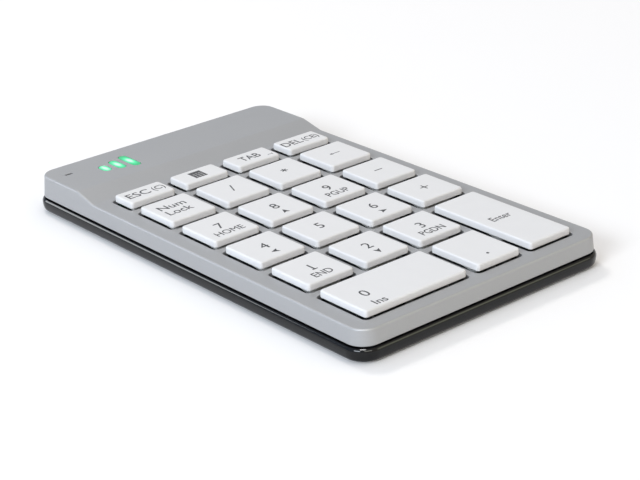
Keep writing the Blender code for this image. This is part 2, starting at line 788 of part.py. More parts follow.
def make_usb_socket(finish):
    """A flattened tube with a contact tongue, its mouth just inside the rear wall."""
    z = SOCKET_MIDDLE
    half_x, half_z = SOCKET_WIDTH / 2, SOCKET_HEIGHT / 2
    inner_x, inner_z = half_x - SOCKET_SKIN, half_z - SOCKET_SKIN
    rear = SOCKET_MOUTH - SOCKET_DEPTH
    floor = rear + SOCKET_END
    tube = loft(
        "socket_tube",
        (
            upright_ring(half_x, half_z, half_z * 0.98, SOCKET_X, z, rear),
            upright_ring(half_x, half_z, half_z * 0.98, SOCKET_X, z, SOCKET_MOUTH),
            upright_ring(inner_x, inner_z, inner_z * 0.98, SOCKET_X, z, SOCKET_MOUTH),
            upright_ring(inner_x, inner_z, inner_z * 0.98, SOCKET_X, z, floor),
        ),
    )
    low = (SOCKET_X - TONGUE_HALF_WIDTH, floor - EMBED, z - TONGUE_HALF_HEIGHT)
    high = (SOCKET_X + TONGUE_HALF_WIDTH, SOCKET_MOUTH - TONGUE_SETBACK, z + TONGUE_HALF_HEIGHT)
    tongue = loft("tongue", block_loops(low, high))
    place("usb_socket", combined("usb_socket", tube, (("UNION", tongue),)), finish)


def make_switch_body(finish):
    """The switch's body on the board, with the groove in which the stem runs."""
    front = SWITCH_REAR - SWITCH_DEPTH
    top = SOCKET_FOOT + SWITCH_HEIGHT
    body = loft(
        "switch_block",
        block_loops((SWITCH_X - SWITCH_HALF, front, SOCKET_FOOT), (SWITCH_X + SWITCH_HALF, SWITCH_REAR, top)),
    )
    half = STEM_HALF_WIDTH + SWITCH_TRAVEL / 2 + SLOT_GAP
    low = (SWITCH_X - half, front + SWITCH_FRONT_WALL, SOCKET_MIDDLE - GROOVE_HALF)
    high = (SWITCH_X + half, SWITCH_REAR + MM, SOCKET_MIDDLE + GROOVE_HALF)
    groove = loft("groove", block_loops(low, high))
    place("switch_body", combined("switch_body", body, (("DIFFERENCE", groove),)), finish)


def make_power_switch(finish):
    """The knob at the left end of its travel, with its stem and its ridges."""
    z = SOCKET_MIDDLE
    front = SWITCH_REAR - SWITCH_DEPTH + SWITCH_FRONT_WALL + SLOT_GAP
    middle = KNOB_REAR - KNOB_THICKNESS / 2
    low = (-STEM_HALF_WIDTH, front, z - STEM_HALF_HEIGHT)
    stem = loft("switch_stem", block_loops(low, (STEM_HALF_WIDTH, middle, z + STEM_HALF_HEIGHT)))
    low = (-KNOB_HALF, KNOB_REAR - KNOB_THICKNESS, z - KNOB_HALF_HEIGHT)
    pad = loft("pad", block_loops(low, (KNOB_HALF, KNOB_REAR, z + KNOB_HALF_HEIGHT)))
    gaps = blocks(
        "ridge_gaps",
        [
            ((x - KNOB_GAP_HALF, KNOB_REAR - KNOB_GAP_DEPTH, z - MM - KNOB_HALF_HEIGHT),
             (x + KNOB_GAP_HALF, KNOB_REAR + MM, z + MM + KNOB_HALF_HEIGHT))
            for x in KNOB_GAPS
        ],
    )
    mesh = combined("power_switch", stem, (("UNION", pad), ("DIFFERENCE", gaps)))
    place("power_switch", mesh, finish, (SWITCH_X - SWITCH_TRAVEL / 2, 0.0, 0.0))


def guide_base(name, x, y, half_x, half_y):
    """The flat clear base that joins the ends of a light guide below the hump."""
    low = (x - half_x, y - half_y, GUIDE_TOP - GUIDE_THICKNESS)
    return loft(name, block_loops(low, (x + half_x, y + half_y, GUIDE_TOP)))


def make_light_guides(mark_finish, lamp_finish):
    """Clear pieces under the hump whose upper ends are flush with it."""
    base = guide_base("mark_base", MARK_X, MARK_Y, GUIDE_HALF_X, GUIDE_HALF_Y)
    bars = mark_bars(0.0, GUIDE_TOP - EMBED, HUMP_TOP - MARK_RECESS)
    place("light_window", combined("light_window", base, (("UNION", bars),)), mark_finish)
    base = guide_base("lamp_base", LAMP_X, LAMP_Y, LAMP_BASE_X, LAMP_BASE_Y)
    nib = loft("lamp_nib", lamp_loops(0.0, GUIDE_TOP - EMBED, HUMP_TOP - LAMP_RECESS))
    place("indicator_lens", combined("indicator_lens", base, (("UNION", nib),)), lamp_finish)


def main():
    clear_scene()
    silver = material("silver_paint", (0.42, 0.43, 0.44), 0.38, 0.35)
    black = material("black_gloss", (0.012, 0.012, 0.013), 0.12)
    white = material("keycap_white", (0.78, 0.78, 0.77), 0.45)
    steel = material("plate_steel", (0.55, 0.56, 0.57), 0.35, 1.0)
    natural = material("scissor_plastic", (0.62, 0.62, 0.60), 0.5)
    film = material("membrane_black", (0.02, 0.02, 0.021), 0.6)
    board = material("board_green", (0.02, 0.14, 0.06), 0.4)
    foil = material("battery_foil", (0.5, 0.5, 0.52), 0.3, 0.8)
    nickel = material("socket_nickel", (0.6, 0.6, 0.6), 0.25, 1.0)
    dark = material("dark_plastic", (0.03, 0.03, 0.032), 0.5)
    rubber = material("foot_rubber", (0.02, 0.02, 0.02), 0.85)
    glow = material("light_guide", (0.45, 0.95, 0.7), 0.3)
    lamp = material("indicator_smoke", (0.08, 0.08, 0.08), 0.3)
    make_top_cover(silver)
    make_bottom_cover(black)
    make_feet(rubber)
    make_support_plate(steel)
    make_membrane(film)
    make_keys(white, natural)
    make_stabiliser("stabiliser_zero", "0", True, WIRE_OFFSET_ZERO, steel)
    make_stabiliser("stabiliser_enter", "enter", False, WIRE_OFFSET_ENTER, steel)
    make_circuit_board(board)
    make_battery(foil)
    make_usb_socket(nickel)
    make_switch_body(dark)
    make_power_switch(black)
    make_light_guides(glow, lamp)


main()
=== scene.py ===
"""Looks of the numeric keypad: fine meshes, materials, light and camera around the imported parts.

Shapes are worked out in millimetres in the row frame, and each mesh is scaled to metres when it is made.
"""

import json
import math

import bmesh
import bpy
from mathutils import Matrix, Quaternion, Vector
from mathutils.geometry import delaunay_2d_cdt


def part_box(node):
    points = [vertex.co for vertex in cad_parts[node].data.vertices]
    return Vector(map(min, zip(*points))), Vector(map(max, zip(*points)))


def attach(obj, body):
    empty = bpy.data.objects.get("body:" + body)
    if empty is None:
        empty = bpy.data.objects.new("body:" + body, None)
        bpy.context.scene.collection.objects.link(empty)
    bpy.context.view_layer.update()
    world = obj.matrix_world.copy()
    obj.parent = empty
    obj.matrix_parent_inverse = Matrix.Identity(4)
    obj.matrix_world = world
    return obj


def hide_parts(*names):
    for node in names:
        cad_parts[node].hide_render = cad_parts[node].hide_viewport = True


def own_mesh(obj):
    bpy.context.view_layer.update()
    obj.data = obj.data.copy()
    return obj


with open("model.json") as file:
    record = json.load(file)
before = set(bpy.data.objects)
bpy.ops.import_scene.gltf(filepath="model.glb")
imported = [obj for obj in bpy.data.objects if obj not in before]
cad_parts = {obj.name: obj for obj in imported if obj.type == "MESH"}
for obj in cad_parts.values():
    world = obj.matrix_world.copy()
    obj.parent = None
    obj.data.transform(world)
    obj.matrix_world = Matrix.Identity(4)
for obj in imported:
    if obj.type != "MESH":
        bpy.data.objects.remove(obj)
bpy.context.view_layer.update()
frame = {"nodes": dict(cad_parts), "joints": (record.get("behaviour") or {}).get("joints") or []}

MM = 0.001


def box_of(node):
    """Lowest and highest corner of a CAD node, in millimetres."""
    low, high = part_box(node)
    return low / MM, high / MM


def travel_of(name):
    """How far a slide joint moves from rest, in millimetres."""
    return next(joint for joint in frame["joints"] if joint["name"] == name)["range_m"][1] / MM


KEY_NAMES = sorted(name[4:] for name in frame["nodes"] if name.startswith("key_"))

# How far a cutter reaches past what it cuts.
CUT_PAST = 1.0

# Case. Insets are measured inwards from the widest outline of the bottom cover.
CASE_HALF = box_of("bottom_cover")[1].to_2d()
CASE_CORNER = 6.0
CORNER_STEPS = 14
SHELL_BOTTOM = box_of("bottom_cover")[0].z
SHELL_FLOOR = 2.0
SHELL_WIDEST = 3.0
SHELL_RIM_INSET = 0.5
SHELL_UNDER_INSET = 1.1
RIM_TOP = 4.1
RIM_EDGE = 0.1
LIP_TOP = box_of("bottom_cover")[1].z
LIP_INSET = 2.6
LIP_WALL = 1.2
LIP_EDGE = 0.2
FLOOR_FILLET = 0.3

# The tray's side in section, as (inset, height): where its curves turn, and the knee of each curve.
SHOULDER_KNEE = (0.0, 3.65)
BELLY_KNEE = (0.03, 2.1)
SHELL_TURN = (0.2, 1.4)
HEEL_KNEE = (0.42, 0.62)

# Ribs, fence and foot recesses of the tray.
FIELD_FRONT = -CASE_HALF.y + 5.4
RIB_ROOT = SHELL_FLOOR - 0.3
RIB_WIDTH = 1.0
RIB_SETBACK = 4.0
RIB_CLEARANCE = 0.3
BOARD_RIB_INSET = 2.0
FENCE_GAP = 0.4
FOOT_GAP = 0.3
FOOT_ROUND = 0.3
FOOT_RECESS_TOP = SHELL_BOTTOM + 0.8

# Top cover.
CAP_TOP = box_of("key_5")[1].z
DECK_TOP = CAP_TOP - 2.0
HUMP_TOP = box_of("top_cover")[1].z
COVER_BOTTOM = 4.6
COVER_EDGE = 0.12
COVER_INSET = 0.7
COVER_DRAFT = 0.09
COVER_WALL = 1.6
COVER_THICKNESS = 1.4
EDGE_ROUND = 0.5
RAMP_FOOT = CASE_HALF.y - 29.1
RAMP_HEAD = CASE_HALF.y - 21.3
FOOT_BLEND = 0.5
HEAD_BLEND = 0.4
BLEND_STEPS = 5
HOLE_CORNER = 1.4
HOLE_ROUND = 0.2
KEY_WEB = 2.4
KEY_GAP = 0.75
STAKE_RADIUS = 0.9
STAKE_EDGE = 0.15
STAKE_SIDES = 20

# Openings in the rear wall. The socket's one keeps a short flat at each end.
OPENING_GAP = 0.3
OPENING_FLAT = 0.02
KNOB_OPENING_HALF = 1.3
KNOB_OPENING_CORNER = 0.35
WALL_CUT_INSIDE = 4.0
WALL_CUT_OUTSIDE = 2.0

# Keycaps and what lifts them.
CAP_SKIRT_BOTTOM = DECK_TOP + 0.05
CAP_CORNER = 0.9
CAP_THICKNESS = 1.1
CAP_CEILING = CAP_TOP - CAP_THICKNESS
CAP_WALL = 1.0
CAP_ROUND = 0.5
CAP_LEAN = 0.03
CAP_EDGE = 0.1
CAP_FILLET = 0.2
CAP_FACE = CAP_TOP - 0.03
CLIP_INNER = 2.4
CLIP_OUTER = 4.6
CLIP_HEIGHT = 0.9
CLIP_THICKNESS = 0.4
EMBED = 0.2
MEMBRANE_TOP = 6.45
SCISSOR_BAR = 1.0
SCISSOR_THICKNESS = 0.7
SCISSOR_EDGE = 0.15
SCISSOR_CORNER = 1.1
SCISSOR_INNER_CORNER = 0.3
SCISSOR_SIDE_GAP = 0.3
SCISSOR_STAGGER = 0.02
PIVOT_RADIUS = 0.28
PIVOT_SIDES = 12
DOME_RADIUS = 2.7
DOME_SIDE_GAP = 0.25
DOME_SIDES = 28
DOME_TOP = CAP_CEILING - 0.4

# Support plate and membrane.
PLATE_CORNER = 2.5
TAIL_LEFT = -24.0
TAIL_RIGHT = -12.0
TAIL_OVERLAP = 1.0
HOOK_HALF = 1.4
HOOK_THICKNESS = 0.4
HOOK_GAP = 0.25
SLOT_GAP = 0.3

# Legends: the ink's heights, capital heights, and how far a line's middle is from the key's middle.
INK_TOP = CAP_TOP - 0.004
INK_BOTTOM = CAP_FACE - 0.04
DIGIT_HEIGHT = 3.4
WORD_HEIGHT = 2.6
LABEL_HEIGHT = 3.1
FONT_CAPITAL = 0.682
INK_LINE = 0.36
DIGIT_SHIFT = -0.15
DIGIT_RISE = 0.25
WORD_DROP = -4.25
WORD_WEIGHT = 0.004

# Lit mark and lamp, on the hump.
MARK = (-21.5, 59.6)
MARK_BARS = ((-4.3, 4.6), (0.0, 7.0), (4.3, 9.4))
MARK_BAR_WIDTH = 2.6
MARK_GAP = 0.12
MARK_ROUND = 0.15
MARK_SINK = 0.02
MARK_HOLE_ROUND = 0.05
LAMP = (-35.9, 63.2)
LAMP_SIZE = (2.4, 0.6)
LAMP_SINK = 0.1
GUIDE_TOP = HUMP_TOP - COVER_THICKNESS - 0.3
GUIDE_CORNER = 0.8
LENS_CORNER = 0.3

# USB socket: shell, tongue and contacts.
SOCKET_WALL = 0.35
SOCKET_FLOOR = 1.0
SOCKET_FLARE = 0.08
SOCKET_EDGE = 0.1
TONGUE_HALF_WIDTH = 3.3
TONGUE_HALF_THICKNESS = 0.33
TONGUE_CORNER = 0.12
TONGUE_GAP = 0.02
TONGUE_ENDS = ((0.0, 1.0), (TONGUE_CORNER, 0.8))  # (inset, setback)
CONTACTS = 12
CONTACT_PITCH = 0.5
CONTACT_HALF_WIDTH = 0.13
CONTACT_SPAN = (-4.4, -1.3)
CONTACT_HEIGHTS = (0.32, 0.37)

# Slide switch's knob.
STEM_HALF_WIDTH = 0.9
STEM_HALF_HEIGHT = 0.7
STEM_SETBACK = 0.9
PAD_THICKNESS = 1.5
GROOVES = 5
GROOVE_PITCH = 0.52
GROOVE_HALF_WIDTH = 0.12
GROOVE_DEPTH = 0.32
KNOB_ROUND = 0.05


# Mesh tools.


def rounded(half_x, half_y, radius, steps, center=(0.0, 0.0)):
    """Points of a rounded rectangle, anticlockwise from the middle of its right side."""
    radius = min(radius, half_x * 0.999, half_y * 0.999)
    points = []
    for quarter in range(4):
        sign_x = 1 if quarter in (0, 3) else -1
        sign_y = 1 if quarter in (0, 1) else -1
        for step in range(steps + 1):
            angle = (quarter + step / steps) * math.pi / 2
            x = sign_x * (half_x - radius) + radius * math.cos(angle)
            y = sign_y * (half_y - radius) + radius * math.sin(angle)
            points.append((center[0] + x, center[1] + y))
    return points


def circle(center, radius, sides):
    """Points of a circle, anticlockwise from its right."""
    turns = [math.tau * i / sides for i in range(sides)]
    return [(center[0] + radius * math.cos(t), center[1] + radius * math.sin(t)) for t in turns]


def level(points, z):
    """Points drawn in the XY plane, at a height."""
    return [(x, y, z) for x, y in points]


def upright(points, y):
    """Points drawn in the XZ plane, at a place along Y."""
    return [(x, y, z) for x, z in points]


def quarter_round(radius, steps):
    """Pairs (outwards, down) along a quarter round, from the top face to the side."""
    turns = [i / steps * math.pi / 2 for i in range(steps + 1)]
    return [(radius * math.sin(t), radius * (1 - math.cos(t))) for t in turns]


def curve(start, knee, end, steps):
    """Points along a curve that leaves its start towards the knee and reaches its end from there."""
    start, knee, end = Vector(start), Vector(knee), Vector(end)
    turns = [i / steps for i in range(steps + 1)]
    return [tuple(start * (1 - t) ** 2 + knee * 2 * t * (1 - t) + end * t**2) for t in turns]


def add_ring(shape, points):
    return [shape.verts.new(point) for point in points]


def bridge(shape, rings):
    """Quads between each ring and the next."""
    for low, high in zip(rings, rings[1:]):
        for i in range(len(low)):
            j = (i + 1) % len(low)
            shape.faces.new((low[i], low[j], high[j], high[i]))


def add_loft(shape, loops):
    """A closed solid through loops of points, with both ends closed."""
    rings = [add_ring(shape, loop) for loop in loops]
    bridge(shape, rings)
    shape.faces.new(rings[0])
    shape.faces.new(rings[-1])


def add_tube(shape, loops):
    """A closed solid through loops of points whose last loop meets its first."""
    rings = [add_ring(shape, loop) for loop in loops]
    bridge(shape, [*rings, rings[0]])


def add_box(shape, low, high):
    corners = ((low[0], low[1]), (high[0], low[1]), (high[0], high[1]), (low[0], high[1]))
    add_loft(shape, [level(corners, low[2]), level(corners, high[2])])


def mesh_of(shape, name):
    """A mesh in metres from a shape in millimetres, with its faces turned outwards."""
    bmesh.ops.recalc_face_normals(shape, faces=shape.faces)
    mesh = bpy.data.meshes.new(name)
    shape.to_mesh(mesh)
    shape.free()
    mesh.transform(Matrix.Scale(MM, 4))
    return mesh


def loft(name, loops):
    """The mesh of a closed solid through loops of points."""
    shape = bmesh.new()
    add_loft(shape, loops)
    return mesh_of(shape, name)


def boxes(name, pairs):
    """The mesh of boxes, each given by its lowest and highest corner."""
    shape = bmesh.new()
    for low, high in pairs:
        add_box(shape, low, high)
    return mesh_of(shape, name)


def add_object(name, data):
    """A new object in the scene."""
    made = bpy.data.objects.new(name, data)
    bpy.context.scene.collection.objects.link(made)
    return made


def evaluated(name, mesh, modifiers):
    """The mesh after a list of modifiers, each given as (type, settings)."""
    host = add_object(name, mesh)
    for kind, settings in modifiers:
        modifier = host.modifiers.new(kind, kind)
        for key, value in settings.items():
            setattr(modifier, key, value)
    graph = bpy.context.evaluated_depsgraph_get()
    result = bpy.data.meshes.new_from_object(host.evaluated_get(graph))
    bpy.data.objects.remove(host)
    result.name = name
    return result


def combined(name, base, operations):
    """The base mesh after a chain of Booleans, each given as (operation, mesh)."""
    tools = []
    modifiers = []
    for operation, mesh in operations:
        tool = add_object(name + "_tool", mesh)
        tools.append(tool)
        modifiers.append(("BOOLEAN", {"operation": operation, "object": tool}))
    result = evaluated(name, base, modifiers)
    for tool in tools:
        bpy.data.objects.remove(tool)
    return result


def bevelled(name, mesh, width):
    """The mesh with its sharp edges rounded."""
    limit = {"limit_method": "ANGLE", "angle_limit": math.radians(40)}
    return evaluated(name, mesh, [("BEVEL", {"width": width * MM, "segments": 2, **limit})])


def add_piece(name, mesh, finish, body, replaces=(), location=(0.0, 0.0, 0.0), sharp=35):
    """A shown piece that moves with a CAD body, smooth on its rounds and sharp on its edges."""
    mesh.materials.clear()
    mesh.materials.append(finish)
    mesh.shade_smooth()
    mesh.set_sharp_from_angle(angle=math.radians(sharp))
    piece = add_object(name, mesh)
    piece.location = Vector(location) * MM
    weighted = piece.modifiers.new("WeightedNormal", "WEIGHTED_NORMAL")
    weighted.keep_sharp = True
    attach(piece, body)
    if replaces:
        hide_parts(*replaces)
    return piece


# Materials.


def shader_of(made):
    return made.node_tree.nodes["Principled BSDF"]


def material(name, color, roughness, metallic=0.0, **settings):
    made = bpy.data.materials.new(name)
    made.use_nodes = True
    shader = shader_of(made)
    shader.inputs["Base Color"].default_value = (*color, 1.0)
    shader.inputs["Roughness"].default_value = roughness
    shader.inputs["Metallic"].default_value = metallic
    for socket, value in settings.items():
        shader.inputs[socket.replace("_", " ")].default_value = value
    return made


def node(made, kind, **values):
    """A new shader node, with the given input values."""
    item = made.node_tree.nodes.new(kind)
    for socket, value in values.items():
        item.inputs[socket].default_value = value
    return item


def link(made, out, into):
    made.node_tree.links.new(out, into)


def noise(made, size, detail=2.0, squeeze=None):
    """Noise of a size in millimetres, fixed to the piece, and squeezed if asked."""
    place = node(made, "ShaderNodeTexCoord").outputs["Object"]
    if squeeze:
        mapping = node(made, "ShaderNodeMapping", Scale=squeeze)
        link(made, place, mapping.inputs["Vector"])
        place = mapping.outputs["Vector"]
    texture = node(made, "ShaderNodeTexNoise", Scale=1.0 / (size * MM), Detail=detail)
    link(made, place, texture.inputs["Vector"])
    return texture.outputs["Fac"]


def remapped(made, value, low, high):
    """The value with its middle range, where noise mostly lies, spread from low to high."""
    ends = {"From Min": 0.3, "From Max": 0.7, "To Min": low, "To Max": high}
    ranged = node(made, "ShaderNodeMapRange", **ends)
    link(made, value, ranged.inputs["Value"])
    return ranged.outputs["Result"]


def vary_color(made, value, amount):
    """Lets the value lighten and darken the base colour by a share."""
    shader = shader_of(made)
    base = shader.inputs["Base Color"].default_value
    mix = node(made, "ShaderNodeMix")
    mix.data_type = "RGBA"
    color_sockets = [socket for socket in mix.inputs if socket.type == "RGBA"]
    color_sockets[0].default_value = [channel * (1 - amount) for channel in base[:3]] + [1.0]
    color_sockets[1].default_value = [min(1.0, channel * (1 + amount)) for channel in base[:3]] + [1.0]
    link(made, remapped(made, value, 0.0, 1.0), mix.inputs["Factor"])
    out = next(socket for socket in mix.outputs if socket.type == "RGBA")
    link(made, out, shader.inputs["Base Color"])


def vary_roughness(made, value, amount):
    shader = shader_of(made)
    base = shader.inputs["Roughness"].default_value
    link(made, remapped(made, value, base - amount, base + amount), shader.inputs["Roughness"])


def add_bump(made, value, depth, strength=1.0):
    """Bump of this depth in millimetres."""
    bump = node(made, "ShaderNodeBump", Strength=strength, Distance=depth * MM)
    link(made, value, bump.inputs["Height"])
    link(made, bump.outputs["Normal"], shader_of(made).inputs["Normal"])


def silver_paint():
    """Satin silver paint: fine flake in colour and bump, and slow changes of gloss."""
    made = material("silver_paint", (0.375, 0.375, 0.378), 0.48, 0.4)
    flake = noise(made, 0.09, 3.0)
    vary_color(made, flake, 0.05)
    vary_roughness(made, noise(made, 9.0), 0.03)
    add_bump(made, flake, 0.002, 0.35)
    return made


def keycap_plastic():
    """White moulded plastic with a fine spark-eroded grain."""
    made = material("keycap_plastic", (0.765, 0.752, 0.74), 0.42, Specular_IOR_Level=0.4)
    vary_color(made, noise(made, 5.0), 0.008)
    grain = noise(made, 0.16, 4.0)
    vary_roughness(made, grain, 0.05)
    add_bump(made, grain, 0.004, 0.35)
    return made


def gloss_plastic():
    """Black gloss plastic, with the faint unevenness of a moulded gloss face."""
    made = material("gloss_plastic", (0.004, 0.004, 0.0045), 0.09, Specular_IOR_Level=0.3)
    vary_color(made, noise(made, 3.0), 0.2)
    vary_roughness(made, noise(made, 0.7, 3.0), 0.02)
    add_bump(made, noise(made, 4.0), 0.003, 0.3)
    return made


def moulded(name, color, roughness, grain_size=0.2, depth=0.004, **settings):
    """Plain moulded plastic or rubber with a grain."""
    made = material(name, color, roughness, **settings)
    grain = noise(made, grain_size, 3.0)
    vary_color(made, grain, 0.06)
    vary_roughness(made, grain, 0.05)
    add_bump(made, grain, depth, 0.5)
    return made


def brushed_metal(name, color, roughness, squeeze=(1.0, 12.0, 1.0)):
    """Rolled or drawn metal: fine lines across the squeezed direction."""
    made = material(name, color, roughness, 1.0)
    lines = noise(made, 1.2, 4.0, squeeze)
    vary_color(made, lines, 0.08)
    vary_roughness(made, lines, 0.07)
    add_bump(made, lines, 0.002, 0.4)
    return made


def ink():
    """Dark grey printing ink with slightly uneven cover."""
    made = material("ink", (0.05, 0.05, 0.053), 0.6)
    vary_color(made, noise(made, 0.12, 3.0), 0.15)
    return made


def lit_plastic():
    """A back-lit mark: mint white over its lamp, turning to green towards its ends."""
    made = material("lit_plastic", (0.02, 0.22, 0.09), 0.3)
    shader = shader_of(made)
    place = node(made, "ShaderNodeTexCoord")
    reach = node(made, "ShaderNodeVectorMath")
    reach.operation = "MULTIPLY"
    reach.inputs[1].default_value = (1.0 / (1.6 * MM), 1.0 / (3.9 * MM), 0.0)
    link(made, place.outputs["Object"], reach.inputs[0])
    distance = node(made, "ShaderNodeVectorMath")
    distance.operation = "LENGTH"
    link(made, reach.outputs["Vector"], distance.inputs[0])
    ramp = node(made, "ShaderNodeValToRGB")
    ramp.color_ramp.elements[0].position = 0.25
    ramp.color_ramp.elements[0].color = (0.72, 1.0, 0.86, 1.0)
    ramp.color_ramp.elements[1].position = 1.0
    ramp.color_ramp.elements[1].color = (0.0, 0.42, 0.14, 1.0)
    middle = ramp.color_ramp.elements.new(0.6)
    middle.color = (0.06, 0.80, 0.38, 1.0)
    link(made, distance.outputs["Value"], ramp.inputs["Fac"])
    link(made, ramp.outputs["Color"], shader.inputs["Emission Color"])
    shader.inputs["Emission Strength"].default_value = 0.85
    return made


def board_lacquer():
    """Green solder mask over faint copper traces."""
    made = material("board_lacquer", (0.02, 0.13, 0.05), 0.35)
    place = node(made, "ShaderNodeTexCoord")
    greens = {"Color1": (0.018, 0.12, 0.045, 1.0), "Color2": (0.022, 0.14, 0.055, 1.0)}
    greens["Mortar"] = (0.05, 0.24, 0.10, 1.0)
    bricks = node(made, "ShaderNodeTexBrick", Scale=1.0 / (6.0 * MM), **greens)
    link(made, place.outputs["Object"], bricks.inputs["Vector"])
    link(made, bricks.outputs["Color"], shader_of(made).inputs["Base Color"])
    add_bump(made, noise(made, 0.5), 0.01, 0.3)
    return made


SILVER = silver_paint()
WHITE = keycap_plastic()
BLACK = gloss_plastic()
INK = ink()
LIT = lit_plastic()
SMOKE = moulded("smoke_plastic", (0.035, 0.035, 0.038), 0.3, 0.3, 0.002)
NATURAL = moulded("natural_plastic", (0.62, 0.62, 0.60), 0.45, 0.3)
RUBBER = moulded("foot_rubber_matt", (0.022, 0.022, 0.023), 0.8, 0.25, 0.02)
DARK = moulded("dark_moulding", (0.03, 0.03, 0.032), 0.42, 0.25)
# Membrane and domes are black as painted shade: the black stands for the shade seen in the gaps round the
# keys, not their own colour.
PAINTED_SHADE_SHEET = moulded("painted_shade_black_sheet", (0.02, 0.02, 0.021), 0.6, 0.6, 0.002)
STEEL = brushed_metal("rolled_steel", (0.55, 0.56, 0.57), 0.35)
NICKEL = brushed_metal("nickel", (0.62, 0.61, 0.59), 0.25, (1.0, 1.0, 6.0))
GOLD = brushed_metal("contact_gold", (0.85, 0.62, 0.25), 0.25)
FOIL = moulded("cell_foil", (0.5, 0.5, 0.52), 0.3, 1.5, 0.03, Metallic=0.8)
BOARD = board_lacquer()


# The case outline and the top cover's surface.


def blend_stations(middle, half):
    return [middle + half * (2 * i / BLEND_STEPS - 1) for i in range(BLEND_STEPS + 1)]


RAMP_STATIONS = blend_stations(RAMP_FOOT, FOOT_BLEND) + blend_stations(RAMP_HEAD, HEAD_BLEND)


def surface_height(y):
    """Height of the cover's upper surface: flat deck, ramp and flat hump, with a parabola at each fold."""
    slope = (HUMP_TOP - DECK_TOP) / (RAMP_HEAD - RAMP_FOOT)
    if y <= RAMP_FOOT - FOOT_BLEND:
        return DECK_TOP
    if y < RAMP_FOOT + FOOT_BLEND:
        return DECK_TOP + slope * (y - RAMP_FOOT + FOOT_BLEND) ** 2 / (4 * FOOT_BLEND)
    if y <= RAMP_HEAD - HEAD_BLEND:
        return DECK_TOP + slope * (y - RAMP_FOOT)
    if y < RAMP_HEAD + HEAD_BLEND:
        return HUMP_TOP - slope * (RAMP_HEAD + HEAD_BLEND - y) ** 2 / (4 * HEAD_BLEND)
    return HUMP_TOP


def case_outline():
    """Points on the widest outline with their outward directions, anticlockwise from the right side."""
    points = []
    for quarter in range(4):
        sign_x = 1 if quarter in (0, 3) else -1
        sign_y = 1 if quarter in (0, 1) else -1
        middle = Vector((sign_x * (CASE_HALF.x - CASE_CORNER), sign_y * (CASE_HALF.y - CASE_CORNER)))
        for step in range(CORNER_STEPS + 1):
            angle = (quarter + step / CORNER_STEPS) * math.pi / 2
            out = Vector((math.cos(angle), math.sin(angle)))
            points.append((middle + out * CASE_CORNER, out))
        if quarter == 1:
            left = Vector((-1, 0))
            points += [(Vector((-CASE_HALF.x, y)), left) for y in reversed(RAMP_STATIONS)]
    points += [(Vector((CASE_HALF.x, y)), Vector((1, 0))) for y in RAMP_STATIONS]
    return points


OUTLINE = case_outline()


def case_loop(inset, z):
    """The case outline at an inset and a height."""
    return [(*(point - out * inset), z) for point, out in OUTLINE]


def surface_loop(depth, extra_inset):
    """A loop at a depth below the cover's upper surface, on its drafted wall."""
    loop = []
    for point, out in OUTLINE:
        z = surface_height(point.y) - depth
        inset = COVER_INSET + COVER_DRAFT * (z - COVER_BOTTOM) + extra_inset
        loop.append((*(point - out * inset), z))
    return loop


def inside(point, polygon):
    """Whether a point lies in a polygon."""
    x, y = point
    found = False
    for (x1, y1), (x2, y2) in zip(polygon, polygon[1:] + polygon[:1]):
        if (y1 > y) != (y2 > y) and x < (x2 - x1) * (y - y1) / (y2 - y1) + x1:
            found = not found
    return found


def fill(shape, outer, holes, folds=()):
    """Triangles between an outer ring and the rings of holes, with an edge along each fold."""
    rings = [outer, *holes]
    corners = [corner for ring in rings for corner in ring]
    edges = []
    start = 0
    for ring in rings:
        count = len(ring)
        edges += [(start + i, start + (i + 1) % count) for i in range(count)]
        start += count
    edges += list(folds)
    flat = [corner.co.to_2d() for corner in corners]
    points, _, faces, origins, _, _ = delaunay_2d_cdt(flat, edges, [], 0, 1e-6, True)
    polygons = [[tuple(corner.co.to_2d()) for corner in ring] for ring in holes]
    for face in faces:
        middle = sum((points[i] for i in face), Vector((0.0, 0.0))) / len(face)
        if not any(inside(middle, polygon) for polygon in polygons):
            shape.faces.new([corners[origins[i][0]] for i in face])


def ramp_folds():
    """Pairs of outline points, left and right, that lie at the same ramp station."""
    count = len(RAMP_STATIONS)
    left = 2 * (CORNER_STEPS + 1)
    right = len(OUTLINE) - count
    return [(left + i, right + count - 1 - i) for i in range(count)]


def hole_size(key):
    """Middle and half sides of a key's hole in the deck."""
    low, high = box_of("key_" + key)
    half = (high - low) / 2
    return ((low.x + high.x) / 2, (low.y + high.y) / 2), half.x + KEY_GAP, half.y + KEY_GAP


def hole_rings(shape, center, half_x, half_y, radius, top, edge):
    """Rings of a hole's wall from its rounded upper edge down. Returns the first and the last."""
    steps = 6
    rings = []
    for out, down in quarter_round(edge, 3):
        grow = edge - out
        points = rounded(half_x + grow, half_y + grow, radius + grow, steps, center)
        rings.append(add_ring(shape, level(points, top - down)))
    points = rounded(half_x, half_y, radius, steps, center)
    rings.append(add_ring(shape, level(points, top - COVER_THICKNESS)))
    bridge(shape, rings)
    return rings[0], rings[-1]


def stake_centers():
    """The melted stakes that hold the support plate, at the crossings of the webs between keys."""
    (_, y_seven), _, _ = hole_size("7")
    (_, y_one), _, half_one = hole_size("1")
    pitch = (y_seven - y_one) / 2
    front = y_one - half_one - KEY_WEB / 2
    return [(side * pitch, front + rows * 2 * pitch) for side in (-1, 1) for rows in range(3)]


def cover_holes(shape):
    """All openings in the upper surface: their rings on the surface and on the ceiling below it."""
    pairs = []
    for key in KEY_NAMES:
        pairs.append(hole_rings(shape, *hole_size(key), HOLE_CORNER, DECK_TOP, HOLE_ROUND))
    slots = [((MARK[0] + x, MARK[1]), MARK_BAR_WIDTH, length) for x, length in MARK_BARS]
    slots.append((LAMP, *LAMP_SIZE))
    for center, width, length in slots:
        wide, deep = width / 2 + MARK_GAP, length / 2 + MARK_GAP
        pairs.append(hole_rings(shape, center, wide, deep, min(wide, deep), HUMP_TOP, MARK_HOLE_ROUND))
    return [upper for upper, _ in pairs], [lower for _, lower in pairs]


